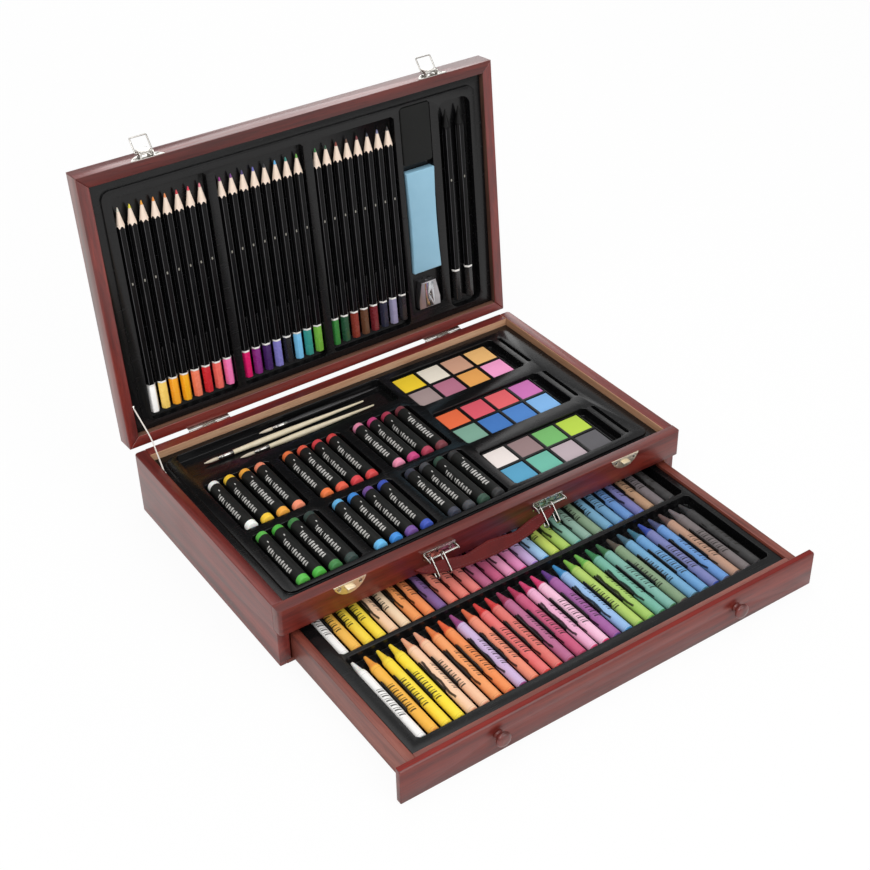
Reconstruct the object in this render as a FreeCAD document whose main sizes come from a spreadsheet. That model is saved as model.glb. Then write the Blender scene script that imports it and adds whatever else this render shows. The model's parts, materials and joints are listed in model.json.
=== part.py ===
import FreeCAD, Part
import math
import os
import re
import Sketcher
from FreeCAD import Placement, Rotation, Vector

# A wooden art box: a clamshell lid with a pencil tray, an upper bay with pastels, paints and
# brushes, and a crayon drawer below it. All lengths are millimetres.
# X runs to the right seen from the front, Y to the back, Z up.
# The origin is the centre of the base's underside.
# At rest the lid stands open and the drawer is pulled out.

SIZES = {
    # case
    "box_width": 380.0,
    "box_depth": 236.0,
    "base_height": 56.9,
    "wall": 9.8,
    "panel": 3.0,
    "rebate": 4.0,
    "edge_round": 3.0,
    "rail_height": 23.2,
    # lid
    "lid_height": 18.5,
    "lid_wall": 9.4,
    "lid_open_angle": 95.2,
    # hinges: the axis lies behind and below the back rim
    "hinge_behind": 3.15,
    "hinge_below": 3.7,
    "hinge_inset": 71.0,
    "hinge_length": 38.0,
    "knuckle_length": 12.6,
    "knuckle_radius": 2.2,
    "knuckle_gap": 0.3,
    "leaf_thickness": 0.9,
    "leaf_height": 13.0,
    "hinge_pin_radius": 1.1,
    "pin_play": 0.05,
    # wood screws
    "screw_radius": 1.1,
    "screw_length": 6.0,
    "screw_head_radius": 2.0,
    "screw_head": 0.7,
    # drawer
    "drawer_pull": 154.7,
    "drawer_front_thickness": 5.2,
    "drawer_front_play": 1.9,
    "drawer_front_lift": 0.8,
    "drawer_front_bevel": 1.2,
    "drawer_top_play": 3.1,
    "drawer_board": 7.0,
    "drawer_back_board": 5.0,
    "drawer_side_play": 1.2,
    "drawer_floor_play": 0.4,
    "drawer_back_space": 4.0,
    "drawer_floor": 2.5,
    "drawer_floor_lift": 1.5,
    "floor_groove": 3.0,
    "seat_gap": 0.3,
    "knob_inset": 80.0,
    "knob_drop": 13.1,
    "knob_radius": 6.2,
    "knob_neck_radius": 3.6,
    "knob_length": 8.6,
    "knob_head": 4.6,
    "knob_bevel": 1.38,
    "knob_dome_share": 0.4,
    "knob_screw_radius": 1.6,
    "knob_screw_head_radius": 3.2,
    "knob_screw_head": 2.0,
    "knob_screw_grip": 4.5,
    # vacuum-formed trays
    "tray_sheet": 1.0,
    "tray_play": 0.8,
    "tray_border": 7.0,
    "tray_step": 2.2,
    "tray_corner": 8.0,
    "pocket_corner": 2.5,
    "upper_tray_recess": 3.8,
    "lid_tray_recess": 2.5,
    "crayon_tray_recess": 1.7,
    # crayons
    "crayon_count": 30,
    "crayon_radius": 4.1,
    "crayon_length": 90.0,
    "crayon_tip": 12.0,
    "crayon_tip_radius": 1.1,
    "crayon_side_border": 10.55,
    "crayon_channel_depth": 9.5,
    "crayon_end_play": 4.0,
    "crayon_side_play": 0.8,
    "crayon_spare_width": 5.0,
    "crayon_front_border": 9.5,
    "channel_bar": 4.2,
    "fin_width": 1.2,
    "fin_length": 33.0,
    "fin_start": 29.0,
    "fin_height": 7.5,
    # oil pastels
    "pastel_bays": 3,
    "pastels_in_bay": 4,
    "pastel_radius": 5.25,
    "pastel_length": 66.0,
    "pastel_side_play": 3.0,
    "pastel_end_play": 1.5,
    "pastel_depth": 7.5,
    "bay_bar": 8.9,
    "bay_front_margin": 11.4,
    "bay_side_margin": 16.4,
    # brushes
    "brush_radius": 2.6,
    "brush_end_radius": 0.7,
    "brush_swell": 0.25,
    "brush_tail": 0.7,
    "brush_ferrule": 14.0,
    "brush_ferrule_radius": 1.9,
    "brush_tuft": 13.0,
    "brush_tuft_share": 0.8,
    "brush_pitch": 10.5,
    "brush_edge_space": 5.0,
    "long_brush_share": 0.974,
    "long_brush_handle": 92.0,
    "stout_brush_share": 0.4286,
    "stout_brush_handle": 127.0,
    "slim_brush_share": 0.697,
    "slim_brush_handle": 103.0,
    "brush_groove_width": 37.0,
    "brush_groove_beyond": 1.2,
    "brush_groove_depth": 8.0,
    "brush_groove_bar": 11.3,
    # watercolour pans
    "pan_rows": 3,
    "pan_columns": 4,
    "cake_side": 22.2,
    "cake_space": 3.2,
    "cake_thickness": 3.8,
    "cake_play": 0.3,
    "palette_edge": 1.6,
    "palette_floor": 1.2,
    "palette_height": 5.4,
    "palette_corner": 2.0,
    "pan_play": 0.6,
    "pan_spare_length": 7.6,
    "pan_recess": 7.4,
    "pan_bar": 14.6,
    "pan_margin": 8.5,
    "rest_zone": 28.7,
    "rest_margin": 5.5,
    "rest_slot_width": 3.2,
    "rest_slot_length": 48.0,
    "rest_slot_depth": 4.0,
    "rest_slot_corner": 1.2,
    # pencils
    "pencil_bays": 3,
    "pencils_in_bay": 8,
    "pencil_flats": 7.0,
    "pencil_length": 180.0,
    "pencil_cone": 17.0,
    "pencil_right_margin": 12.7,
    "pencil_depth": 7.5,
    "pencil_tip_play": 8.5,
    "pencil_end_play": 5.5,
    "pencil_tip_margin": 14.4,
    "pencil_fin_length": 60.0,
    "pencil_fin_height": 5.0,
    "pencil_fin_share": 0.6,
    "lead_radius": 1.0,
    "pencil_bar": 7.5,
    "pencil_left_margin": 14.8,
    # sketching tools beside the pencils
    "tools_margin": 5.5,
    "eraser_width": 29.0,
    "eraser_length": 94.0,
    "eraser_thickness": 8.0,
    "eraser_waist": 1.3,
    "eraser_start": 57.0,
    "pad_length": 51.0,
    "pad_thickness": 6.0,
    "pad_margin": 10.0,
    "tool_pocket_depth": 5.5,
    "tool_play": 0.8,
    "sharpener_width": 22.0,
    "sharpener_nose": 15.0,
    "sharpener_length": 25.0,
    "sharpener_height": 7.0,
    "sharpener_waist_share": 0.7,
    "sharpener_hole_radius": 2.8,
    "sharpener_hole_share": 0.9,
    "blade_inset": 0.9,
    "sharpener_gap": 11.0,
    "blade_thickness": 0.6,
    "blade_width": 9.0,
    "sketch_count": 2,
    "sketch_pocket_width": 33.0,
    "sketch_pitch": 13.5,
    "sketch_corner": 9.0,
    # front fittings
    "catch_inset": 59.5,
    "plate_width": 28.0,
    "plate_height": 10.2,
    "plate_thickness": 0.8,
    "plate_inset": 0.4,
    "plate_screw_spread": 9.2,
    "plate_screw_drop": 3.0,
    "catch_pin_out": 3.2,
    "catch_pin_up": 3.0,
    "catch_pin_radius": 0.75,
    "ear_radius": 2.1,
    "ear_half_gap": 5.1,
    "ear_thickness": 0.8,
    "lever_half_width": 4.8,
    "lever_length": 8.6,
    "lever_tail": 1.3,
    "lever_front": 1.8,
    "lever_sheet": 0.8,
    "bail_pin_step": 3.5,
    "bail_wire": 1.2,
    "bail_half_width": 7.0,
    "bail_reach": 12.9,
    "bail_back_angle": 125.0,
    "hook_width": 7.0,
    "hook_drop": 5.2,
    "hook_sheet": 0.8,
    "hook_out": 3.6,
    "hook_lip": 2.6,
    # carrying handle
    "bracket_spread": 51.5,
    "bracket_length": 29.0,
    "bracket_height": 8.0,
    "bracket_thickness": 1.0,
    "bracket_bar_radius": 0.8,
    "handle_axis_out": 5.4,
    "handle_axis_drop": 9.4,
    "link_wire": 1.2,
    "link_pitch": 11.0,
    "link_shift": 6.0,
    "link_play": 0.35,
    "handle_shift": 12.5,
    "handle_half_length": 65.0,
    "handle_sag": 17.4,
    "handle_middle": 4.8,
    "handle_thickness": 4.0,
    "handle_round": 1.2,
    "handle_hang_angle": 45.0,
    # stay cord
    "cord_diameter": 1.2,
    "stay_pin_radius": 1.3,
    "stay_pin_length": 1.6,
    "stay_pin_drop": 3.9,
    "stay_back": 23.7,
    "stay_lid_back": 26.6,
    "stay_lid_drop": 2.6,
    "stay_collar_radius": 0.8,
    "stay_collar_length": 2.2,
    "stay_bow": 2.5,
    "stay_bend_share": 0.45,
}

# Flat sides of what stands for a small round piece, and steps along the strap's edges.
ROUND_SIDES = 12
PLATE_SIDES = 24
KNOB_SIDES = 16
CRAYON_SIDES = 8
WIRE_SIDES = 8
SCREW_SIDES = 6
PENCIL_SIDES = 6
GRIP_STEPS = 14
PENCIL_SIDES = 6

# Places and sizes that follow from the sizes above, in the order in which they build up.
PLACES = {
    "half_width": "box_width/2",
    "hinge_spread": "half_width - hinge_inset",
    "knob_spread": "half_width - knob_inset",
    "catch_spread": "half_width - catch_inset",
    "front": "-box_depth/2",
    "back": "box_depth/2",
    "inner_right": "half_width - wall",
    "inner_front": "front + wall",
    "inner_back": "back - wall",
    "rail_bottom": "base_height - rail_height",
    "divider_bottom": "rail_bottom - panel",
    "side_front": "front + drawer_front_thickness + seat_gap",
    "hinge_y": "back + hinge_behind",
    "hinge_z": "base_height - hinge_below",
    # lid, drawn closed and then swung open about the hinge axis
    "rim": "base_height",
    "handle_axis_height": "base_height - handle_axis_drop",
    "lid_top": "base_height + lid_height",
    "lid_panel_bottom": "lid_top - panel",
    "lid_inner_right": "half_width - lid_wall",
    "lid_inner_front": "front + lid_wall",
    "lid_inner_back": "back - lid_wall",
    "lid_shift_y": "hinge_y - hinge_y*cos(lid_open_angle) - hinge_z*sin(lid_open_angle)",
    "lid_shift_z": "hinge_z + hinge_y*sin(lid_open_angle) - hinge_z*cos(lid_open_angle)",
    # drawer
    "drawer_face": "front - drawer_pull",
    "drawer_front_back": "drawer_face + drawer_front_thickness",
    "drawer_right": "inner_right - drawer_side_play",
    "drawer_inner_right": "drawer_right - drawer_board",
    "drawer_inner_front": "drawer_front_back + drawer_board",
    "drawer_back": "inner_back - drawer_back_space - drawer_pull",
    "drawer_inner_back": "drawer_back - drawer_back_board",
    "drawer_bottom": "panel + drawer_floor_play",
    "drawer_top": "divider_bottom - drawer_top_play",
    "drawer_front_top": "rail_bottom - drawer_front_play",
    "knob_height": "drawer_front_top - knob_drop",
    "floor_bottom": "drawer_bottom + drawer_floor_lift",
    "floor_top": "floor_bottom + drawer_floor",
    # crayon tray
    "crayon_plateau": "drawer_top - crayon_tray_recess",
    "crayon_tray_right": "drawer_inner_right - tray_play",
    "crayon_tray_front": "drawer_inner_front + tray_play",
    "crayon_tray_back": "drawer_inner_back - tray_play",
    "crayon_field": "2*crayon_tray_right - 2*crayon_side_border - 2*crayon_radius - 2*crayon_side_play",
    "crayon_pitch": "crayon_field/(crayon_count - 1)",
    "crayon_first": "-(crayon_count - 1)/2*crayon_pitch",
    "channel_left": "crayon_first - crayon_radius - crayon_side_play",
    "channel_right": "crayon_side_play + crayon_radius - crayon_first + crayon_spare_width",
    "channel_length": "crayon_length + crayon_end_play",
    "front_channel": "crayon_tray_front + crayon_front_border",
    "back_channel": "front_channel + channel_length + channel_bar",
    "crayon_axis": "crayon_plateau - crayon_channel_depth + crayon_radius",
    # upper tray
    "upper_plateau": "base_height - upper_tray_recess",
    "upper_tray_right": "inner_right - tray_play",
    "upper_tray_front": "inner_front + tray_play",
    "upper_tray_back": "inner_back - tray_play",
    "cake_pitch": "cake_side + cake_space",
    "palette_length": "pan_columns*cake_pitch - cake_space + 2*palette_edge",
    "pan_length": "palette_length + 2*pan_play + pan_spare_length",
    "pastel_margins": "bay_side_margin + pastel_bays*pastel_side_play + (pastel_bays - 1)*bay_bar",
    "pastel_field": "2*upper_tray_right - pastel_margins - pan_margin - pan_length - rest_zone",
    "pastel_pitch": "pastel_field/(pastel_bays*pastels_in_bay)",
    "bay_width": "pastels_in_bay*pastel_pitch + pastel_side_play",
    "bay_length": "pastel_length + 2*pastel_end_play",
    "pastel_axis": "upper_plateau - pastel_depth + pastel_radius",
    "bays_left": "bay_side_margin - upper_tray_right",
    "bays_right": "bays_left + pastel_bays*(bay_width + bay_bar) - bay_bar",
    "front_bays": "upper_tray_front + bay_front_margin",
    "back_bays": "front_bays + bay_length + bay_bar",
    "groove_front": "back_bays + bay_length + brush_groove_bar",
    "groove_right": "bays_right + brush_groove_beyond",
    "palette_width": "2*cake_pitch - cake_space + 2*palette_edge",
    "pan_left": "bays_right + pan_margin",
    "pan_right": "pan_left + pan_length",
    "pan_width": "palette_width + 2*pan_play",
    "pan_pitch": "pan_width + pan_bar",
    "pan_first": "-(pan_rows - 1)/2*pan_pitch",
    "pan_floor": "upper_plateau - pan_recess",
    "rest_slot_left": "pan_right + rest_margin",
    # pencil tray, in the closed lid: it opens downwards
    "lid_plateau": "rim + lid_tray_recess",
    "pencil_tray_right": "lid_inner_right - tray_play",
    "pencil_tray_front": "lid_inner_front + tray_play",
    "pencil_tray_back": "lid_inner_back - tray_play",
    "tools_width": "eraser_width + 2*tool_play",
    "sketch_zone": "tray_border + tray_sheet + sketch_pocket_width + pencil_right_margin",
    "pencil_margins": "pencil_left_margin + (pencil_bays - 1)*pencil_bar + tools_margin",
    "pencil_field": "2*pencil_tray_right - pencil_margins - tools_width - sketch_zone",
    "pencil_pitch": "pencil_field/(pencil_bays*pencils_in_bay)",
    "pencil_bay_width": "pencils_in_bay*pencil_pitch",
    "pencil_fin_width": "(pencil_pitch - 2*pencil_flats/sqrt(3))*pencil_fin_share",
    "pencil_axis": "lid_plateau + pencil_depth - pencil_flats/2",
    "pencil_bays_left": "pencil_left_margin - pencil_tray_right",
    "pencil_bay_front": "pencil_tray_front + pencil_tip_margin",
    "pencil_tips": "pencil_bay_front + pencil_tip_play",
    "pencil_ends": "pencil_tips + pencil_length",
    "pencil_bay_back": "pencil_ends + pencil_end_play",
    "tools_left": "pencil_bays_left + pencil_bays*(pencil_bay_width + pencil_bar) + tools_margin - pencil_bar",
    "tools_right": "tools_left + tools_width",
    "pad_front": "pencil_tray_front + pad_margin",
    "pad_back": "pad_front + pad_length",
    "eraser_front": "pad_front + eraser_start",
    "eraser_back": "eraser_front + eraser_length",
    "sharpener_front": "eraser_back + sharpener_gap",
    "tool_floor": "lid_plateau + tool_pocket_depth",
    "sketch_left": "tools_right + tray_border + tray_sheet",
    "sketch_first": "sketch_left + (sketch_pocket_width - (sketch_count - 1)*sketch_pitch)/2",
    # front fittings
    "plate_radius": "(plate_width*plate_width/4 + plate_height*plate_height)/(2*plate_height)",
    "catch_axis_y": "front - catch_pin_out",
    "catch_axis_z": "rim + plate_inset + catch_pin_up",
    "bail_axis_z": "catch_axis_z + bail_pin_step",
    "handle_axis_y": "front - handle_axis_out",
    "link_inside": "handle_thickness/2 + link_play",
}


def expand(text):
    """Write a size text as a FreeCAD expression on the sheet and the worked-out places."""

    def swap(match):
        word = match.group(0)
        if word in SIZES:
            return "dims." + word
        if word in PLACES:
            return "places." + word
        return word

    return re.sub(r"[a-z_]+[a-z]", swap, str(text))


EDGE_TOLERANCE = 0.001
PICK_MARGIN = 0.1
VOLUME_TOLERANCE = 0.02

doc = FreeCAD.newDocument("pencil_drawer_box")
sheet = doc.addObject("Spreadsheet::Sheet", "dims")
for row, (alias, size) in enumerate(SIZES.items(), start=1):
    sheet.set(f"A{row}", alias)
    sheet.set(f"B{row}", str(size))
    sheet.setAlias(f"B{row}", alias)
doc.recompute()

places = doc.addObject("App::VarSet", "places")
for place, formula in PLACES.items():
    places.addProperty("App::PropertyFloat", place)
    places.setExpression(place, expand(formula))
doc.recompute()

nodes = []


def number(text):
    """The present value of a size text."""
    value = sheet.evalExpression(expand(text))
    return float(getattr(value, "Value", value))


# ---------------------------------------------------------------- helpers


def bind(item, **texts):
    """Bind properties to size texts; an underscore in a keyword stands for a dot."""
    for prop, text in texts.items():
        item.setExpression(prop.replace("_", "."), expand(text))
    return item


def put(item, x, y, z):
    """Bind an object's position."""
    return bind(item, Placement_Base_x=x, Placement_Base_y=y, Placement_Base_z=z)


def block(name, span_x, span_y, span_z):
    """A block between a low and a high plane on each axis."""
    item = doc.addObject("Part::Box", name)
    for side, span in zip(("Length", "Width", "Height"), (span_x, span_y, span_z)):
        bind(item, **{side: f"({span[1]}) - ({span[0]})"})
    return put(item, span_x[0], span_y[0], span_z[0])


def soften(name, item, radius, along, where=lambda point: True, kind="Part::Fillet"):
    """Ease the straight edges that run along X, Y or Z and whose middle passes the test."""
    doc.recompute()
    direction = Vector(*AXIS[along])
    edges = []
    for index, edge in enumerate(item.Shape.Edges, start=1):
        straight = abs(edge.tangentAt(edge.FirstParameter).dot(direction)) > 0.99
        if straight and where(edge.CenterOfMass):
            edges.append((index, number(radius), number(radius)))
    eased = doc.addObject(kind, name)
    eased.Base = item
    eased.Edges = edges
    return eased


def round_block(name, span_x, span_y, span_z, radius, along="z"):
    """A block with its edges along one axis rounded."""
    return soften(name, block(name + "_block", span_x, span_y, span_z), radius, along)


def cut_corner_block(name, span_x, span_y, span_z, size, along="z"):
    """A block with its edges along one axis cut off at a slant."""
    item = block(name + "_block", span_x, span_y, span_z)
    return soften(name, item, size, along, kind="Part::Chamfer")


AXIS = {"x": (1, 0, 0), "y": (0, 1, 0), "z": (0, 0, 1)}
AXIS_TURN = {
    "x": Rotation(Vector(0, 1, 0), 90),
    "y": Rotation(Vector(1, 0, 0), -90),
    "z": Rotation(),
}


def rod(name, radius, start, axis, length, sides=0):
    """A rod from a start point along +X, +Y or +Z, round or with a few flat sides."""
    item = doc.addObject("Part::Prism" if sides else "Part::Cylinder", name)
    if sides:
        item.Polygon = sides
        bind(item, Circumradius=radius, Height=length)
    else:
        bind(item, Radius=radius, Height=length)
    item.Placement = Placement(Vector(), AXIS_TURN[axis])
    return put(item, *start)


def pin_bore(name, radius, start, axis, length, sides=WIRE_SIDES):
    """The faceted hole for a round pin: its flats clear the pin by the named play."""
    return rod(name, f"(({radius}) + pin_play)/cos(180/{sides})", start, axis, length, sides)


def point_end(name, item, axis, at, length, inset):
    """Cut the faceted rod's end that lies at one height of its axis to a blunt point."""
    doc.recompute()
    direction = Vector(*AXIS[axis])
    flat = math.cos(math.pi / item_sides(item))
    edges = []
    for index, edge in enumerate(item.Shape.Edges, start=1):
        heights = [vertex.Point.dot(direction) for vertex in edge.Vertexes]
        if max(abs(height - number(at)) for height in heights) < EDGE_TOLERANCE:
            first_face = item.Shape.ancestorsOfType(edge, Part.Face)[0]
            cuts = [number(length), number(inset) * flat]
            if abs(first_face.normalAt(0, 0).dot(direction)) > 0.5:
                cuts.reverse()
            edges.append((index, *cuts))
    pointed = doc.addObject("Part::Chamfer", name)
    pointed.Base = item
    pointed.Edges = edges
    return pointed


def item_sides(item):
    """The number of flat sides of a faceted rod, pointed at one end or not."""
    while item.TypeId == "Part::Chamfer":
        item = item.Base
    return item.Polygon


def group(name, items):
    """Separate solids kept together as one object."""
    item = doc.addObject("Part::Compound", name)
    item.Links = items
    return item


def join(name, items):
    """One solid from touching or overlapping pieces."""
    if len(items) == 1:
        return items[0]
    item = doc.addObject("Part::MultiFuse", name)
    item.Shapes = items
    item.Refine = True
    return item


def cut(name, base, tools):
    """A piece with one or more tools taken out of it."""
    item = doc.addObject("Part::Cut", name)
    item.Base = base
    item.Tool = join(name + "_tools", tools)
    item.Refine = True
    return item


def plane_of(body, role):
    """One of the body's own origin planes."""
    return next(item for item in body.Origin.OriginFeatures if item.Role == role)


def outline(body, name, role, points, offset="0"):
    """A closed polygon sketch whose corners are bound to size texts."""
    sketch = body.newObject("Sketcher::SketchObject", name)
    sketch.AttachmentSupport = [(plane_of(body, role), "")]
    sketch.MapMode = "FlatFace"
    sketch.setExpression("AttachmentOffset.Base.z", expand(offset))
    count = len(points)
    starts = [Vector(index, index * index, 0) for index in range(count)]
    for index in range(count):
        sketch.addGeometry(Part.LineSegment(starts[index], starts[(index + 1) % count]))
    for index in range(count):
        sketch.addConstraint(Sketcher.Constraint("Coincident", index, 2, (index + 1) % count, 1))
    for index, (across, up) in enumerate(points):
        for kind, text, now in (("DistanceX", across, starts[index].x), ("DistanceY", up, starts[index].y)):
            spot = sketch.addConstraint(Sketcher.Constraint(kind, -1, 1, index, 1, now))
            sketch.setExpression(f"Constraints[{spot}]", expand(text))
    return sketch


def span_offset(role, low, high):
    """The sketch offset from which a pad along the plane's normal fills low to high."""
    return f"-({high})" if role == "XZ_Plane" else low


def pad(name, role, points, low, high, body=None):
    """A body padded from a polygon between two planes along the sketch plane's axis."""
    body = body or doc.addObject("PartDesign::Body", name)
    sketch = outline(body, name + "_outline", role, points, span_offset(role, low, high))
    feature = body.newObject("PartDesign::Pad", name + "_pad")
    feature.Profile = sketch
    bind(feature, Length=f"({high}) - ({low})")
    sketch.Visibility = False
    body.Tip = feature
    return body


def pocket(body, name, role, points, low, high):
    """Cut a polygon out of a body between two planes along the sketch plane's axis."""
    doc.recompute()
    before = body.Shape.Volume
    sketch = outline(body, name + "_outline", role, points, span_offset(role, low, high))
    feature = body.newObject("PartDesign::Pocket", name + "_cut")
    feature.Profile = sketch
    feature.Reversed = True
    bind(feature, Length=f"({high}) - ({low})")
    sketch.Visibility = False
    body.Tip = feature
    doc.recompute()
    if body.Shape.Volume > before - 1e-3:
        raise RuntimeError(name + " cuts nothing")
    return body


def rectangle(left, right, low, high):
    """The four corners of an upright rectangle."""
    return [(left, low), (right, low), (right, high), (left, high)]


def turned(name, role, profile, axis, body=None):
    """A body turned from a half profile about one of the sketch's own axes."""
    body = body or doc.addObject("PartDesign::Body", name)
    sketch = outline(body, name + "_profile", role, profile)
    feature = body.newObject("PartDesign::Revolution", name + "_turn")
    feature.Profile = sketch
    feature.ReferenceAxis = (sketch, [axis])
    feature.Angle = 360
    sketch.Visibility = False
    body.Tip = feature
    return body


def repeat(name, item, count, place):
    """Copies of one piece, each at the position that place gives for its index."""
    copies = []
    for index in range(count):
        copy = group(f"{name}_{index + 1}", [item])
        put(copy, *place(index))
        copies.append(copy)
    return copies


def keep(label, item, in_lid=False):
    """Name a finished sub-part and list it for export; a lid piece is swung open with the lid."""
    if in_lid:
        item.Label = label + "_closed"
        item = group(label, [item])
        item.Placement = Placement(Vector(), Rotation(Vector(-1, 0, 0), 1))
        bind(item, Placement_Rotation_Angle="lid_open_angle")
        put(item, "0", "lid_shift_y", "lid_shift_z")
    item.Label = label
    nodes.append(item)
    return item


# ---------------------------------------------------------------- case


def screws(name, spots, face, inward):
    """Flat-headed wood screws along Y, and the same shapes to take out of what they hold."""
    items = []
    for index, (x, z) in enumerate(spots, start=1):
        shank_start = face if inward > 0 else f"({face}) - screw_length"
        head_start = face if inward > 0 else f"({face}) - screw_head"
        shank = rod(f"{name}_shank_{index}", "screw_radius", (x, shank_start, z), "y", "screw_length",
            SCREW_SIDES)
        head = rod(f"{name}_head_{index}", "screw_head_radius", (x, head_start, z), "y", "screw_head",
            SCREW_SIDES)
        items.append(join(f"{name}_{index}", [shank, head]))
    return group(name, items)


def side_panel(label, low, high, groove_low, groove_high):
    """A side of the base, notched for the front rail, rebated and grooved for the two panels."""
    profile = [
        ("side_front", "0"),
        ("back", "0"),
        ("back", "base_height"),
        ("inner_front", "base_height"),
        ("inner_front", "rail_bottom"),
        ("side_front", "rail_bottom"),
    ]
    body = pad(label, "YZ_Plane", profile, low, high)
    for name, bottom, top in (("rebate", "0", "panel"), ("dado", "divider_bottom", "rail_bottom")):
        corners = rectangle("side_front", "inner_back + rebate", bottom, top)
        pocket(body, f"{label}_{name}", "YZ_Plane", corners, groove_low, groove_high)
    outer = number("half_width") - PICK_MARGIN
    rear = number("back") - PICK_MARGIN
    return soften(label + "_round", body, "edge_round", "z", lambda at: abs(at.x) > outer and at.y > rear)


def case_board(label, bottom, top):
    """A thin panel let into the sides and the back."""
    span_x = ("-inner_right - rebate", "inner_right + rebate")
    return keep(label, block(label, span_x, ("side_front", "inner_back + rebate"), (bottom, top)))


catch_spots = [("-1", "-catch_spread"), ("1", "catch_spread")]
bracket_spots = ["-bracket_spread", "bracket_spread"]
hinge_spots = ["-hinge_spread", "hinge_spread"]

strike_screw_spots = []
for side, centre in catch_spots:
    for turn in ("-", "+"):
        strike_screw_spots.append((f"{centre} {turn} plate_screw_spread",
            "rim - plate_inset - plate_screw_drop"))
strike_screws = screws("strike_screws", strike_screw_spots, "front - plate_thickness", 1)

bracket_screw_spots = []
for centre in bracket_spots:
    for turn in ("-", "+"):
        bracket_screw_spots.append((f"{centre} {turn} bracket_length/3", "handle_axis_height"))
bracket_screws = screws("bracket_screws", bracket_screw_spots, "front - bracket_thickness", 1)

base_leaf_spots = []
lid_leaf_spots = []
for centre in hinge_spots:
    for turn in ("-", "+"):
        base_leaf_spots.append((f"{centre} {turn} hinge_length/3", "hinge_z - leaf_height*2/3"))
        lid_leaf_spots.append((f"{centre} {turn} hinge_length/3", "hinge_z + leaf_height*3/4"))
base_leaf_screws = screws("hinge_base_screws", base_leaf_spots, "back + leaf_thickness", -1)
lid_leaf_screws = screws("hinge_lid_screws", lid_leaf_spots, "back + leaf_thickness", -1)

keep("right_side_panel", side_panel("right_side", "inner_right", "half_width", "inner_right",
    "inner_right + rebate"))
keep("left_side_panel", side_panel("left_side", "-half_width", "-inner_right", "-inner_right - rebate",
    "-inner_right"))

rail = block("rail_block", ("-half_width", "half_width"), ("front", "inner_front"),
    ("rail_bottom", "base_height"))
front_line = number("front") + PICK_MARGIN
rail = soften("rail_round", rail, "edge_round", "z", lambda at: at.y < front_line)
keep("front_rail", cut("front_rail_cut", rail, [strike_screws, bracket_screws]))

back_board = block("back_block", ("-inner_right", "inner_right"), ("inner_back", "back"),
    ("0", "base_height"))
back_grooves = []
for name, bottom, top in (("rebate", "0", "panel"), ("dado", "divider_bottom", "rail_bottom")):
    span = ("-inner_right", "inner_right")
    back_grooves.append(block("back_" + name, span, ("inner_back", "inner_back + rebate"), (bottom, top)))
keep("back_panel", cut("back_panel_cut", back_board, back_grooves + [base_leaf_screws]))
case_board("bottom_panel", "0", "panel")
case_board("divider_panel", "divider_bottom", "rail_bottom")


# ---------------------------------------------------------------- vacuum-formed trays


def tray(label, right, span_y, floor, plateau, pockets, step=True, fins=()):
    """A sheet tray: a skirt, a flange, a raised plateau and the pockets sunk into it.

    Each pocket is its name, its X span, its Y span, its depth from the plateau and its corner radius.
    A tray whose floor lies above its plateau opens downwards.
    """
    up = number(plateau) > number(floor)
    sign = "-" if up else "+"

    def band(low, high):
        """A Z span between two depths below the plateau."""
        first = f"{plateau} {sign} ({low})"
        last = f"{plateau} {sign} ({high})"
        return (last, first) if up else (first, last)

    drop = "tray_step" if step else "0"
    foot = f"{floor} - ({plateau})" if not up else f"{plateau} - ({floor})"
    front_y, back_y = span_y
    outer = [block(label + "_outer", (f"-({right})", right), span_y, band(drop, foot))]
    inset = f"({right}) - tray_sheet"
    inner_span = (f"({front_y}) + tray_sheet", f"({back_y}) - tray_sheet")
    hollow = [block(label + "_hollow", (f"-({inset})", inset), inner_span,
        band(f"{drop} + tray_sheet", foot))]
    if step:
        edge = f"({right}) - tray_border"
        raised = (f"({front_y}) + tray_border", f"({back_y}) - tray_border")
        outer.append(round_block(label + "_raised", (f"-({edge})", edge), raised,
            band("0", "tray_step"), "tray_corner"))
        edge = f"({right}) - tray_border - tray_sheet"
        raised = (f"({front_y}) + tray_border + tray_sheet", f"({back_y}) - tray_border - tray_sheet")
        inner_step = band("tray_sheet", "tray_step + tray_sheet")
        hollow.append(round_block(label + "_raised_hollow", (f"-({edge})", edge), raised, inner_step,
            "tray_corner"))
    cups = []
    voids = []
    for name, span_x, cup_y, depth, corner in pockets:
        wide_x = (f"({span_x[0]}) - tray_sheet", f"({span_x[1]}) + tray_sheet")
        wide_y = (f"({cup_y[0]}) - tray_sheet", f"({cup_y[1]}) + tray_sheet")
        cups.append(block(f"{name}_cup", wide_x, wide_y, band("0", f"({depth}) + tray_sheet")))
        shape = round_block if corner == "sketch_corner" else cut_corner_block
        voids.append(shape(f"{name}_void", span_x, cup_y, band("0", depth), corner))
    space = cut(label + "_space", join(label + "_hollow_all", hollow), [group(label + "_cups", cups)])
    shell = cut(label + "_shell", join(label + "_form", outer), [space])
    shell = cut(label + "_cut", shell, [group(label + "_voids", voids)])
    if fins:
        shell = join(label + "_finned", [shell] + list(fins))
    return shell


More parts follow.
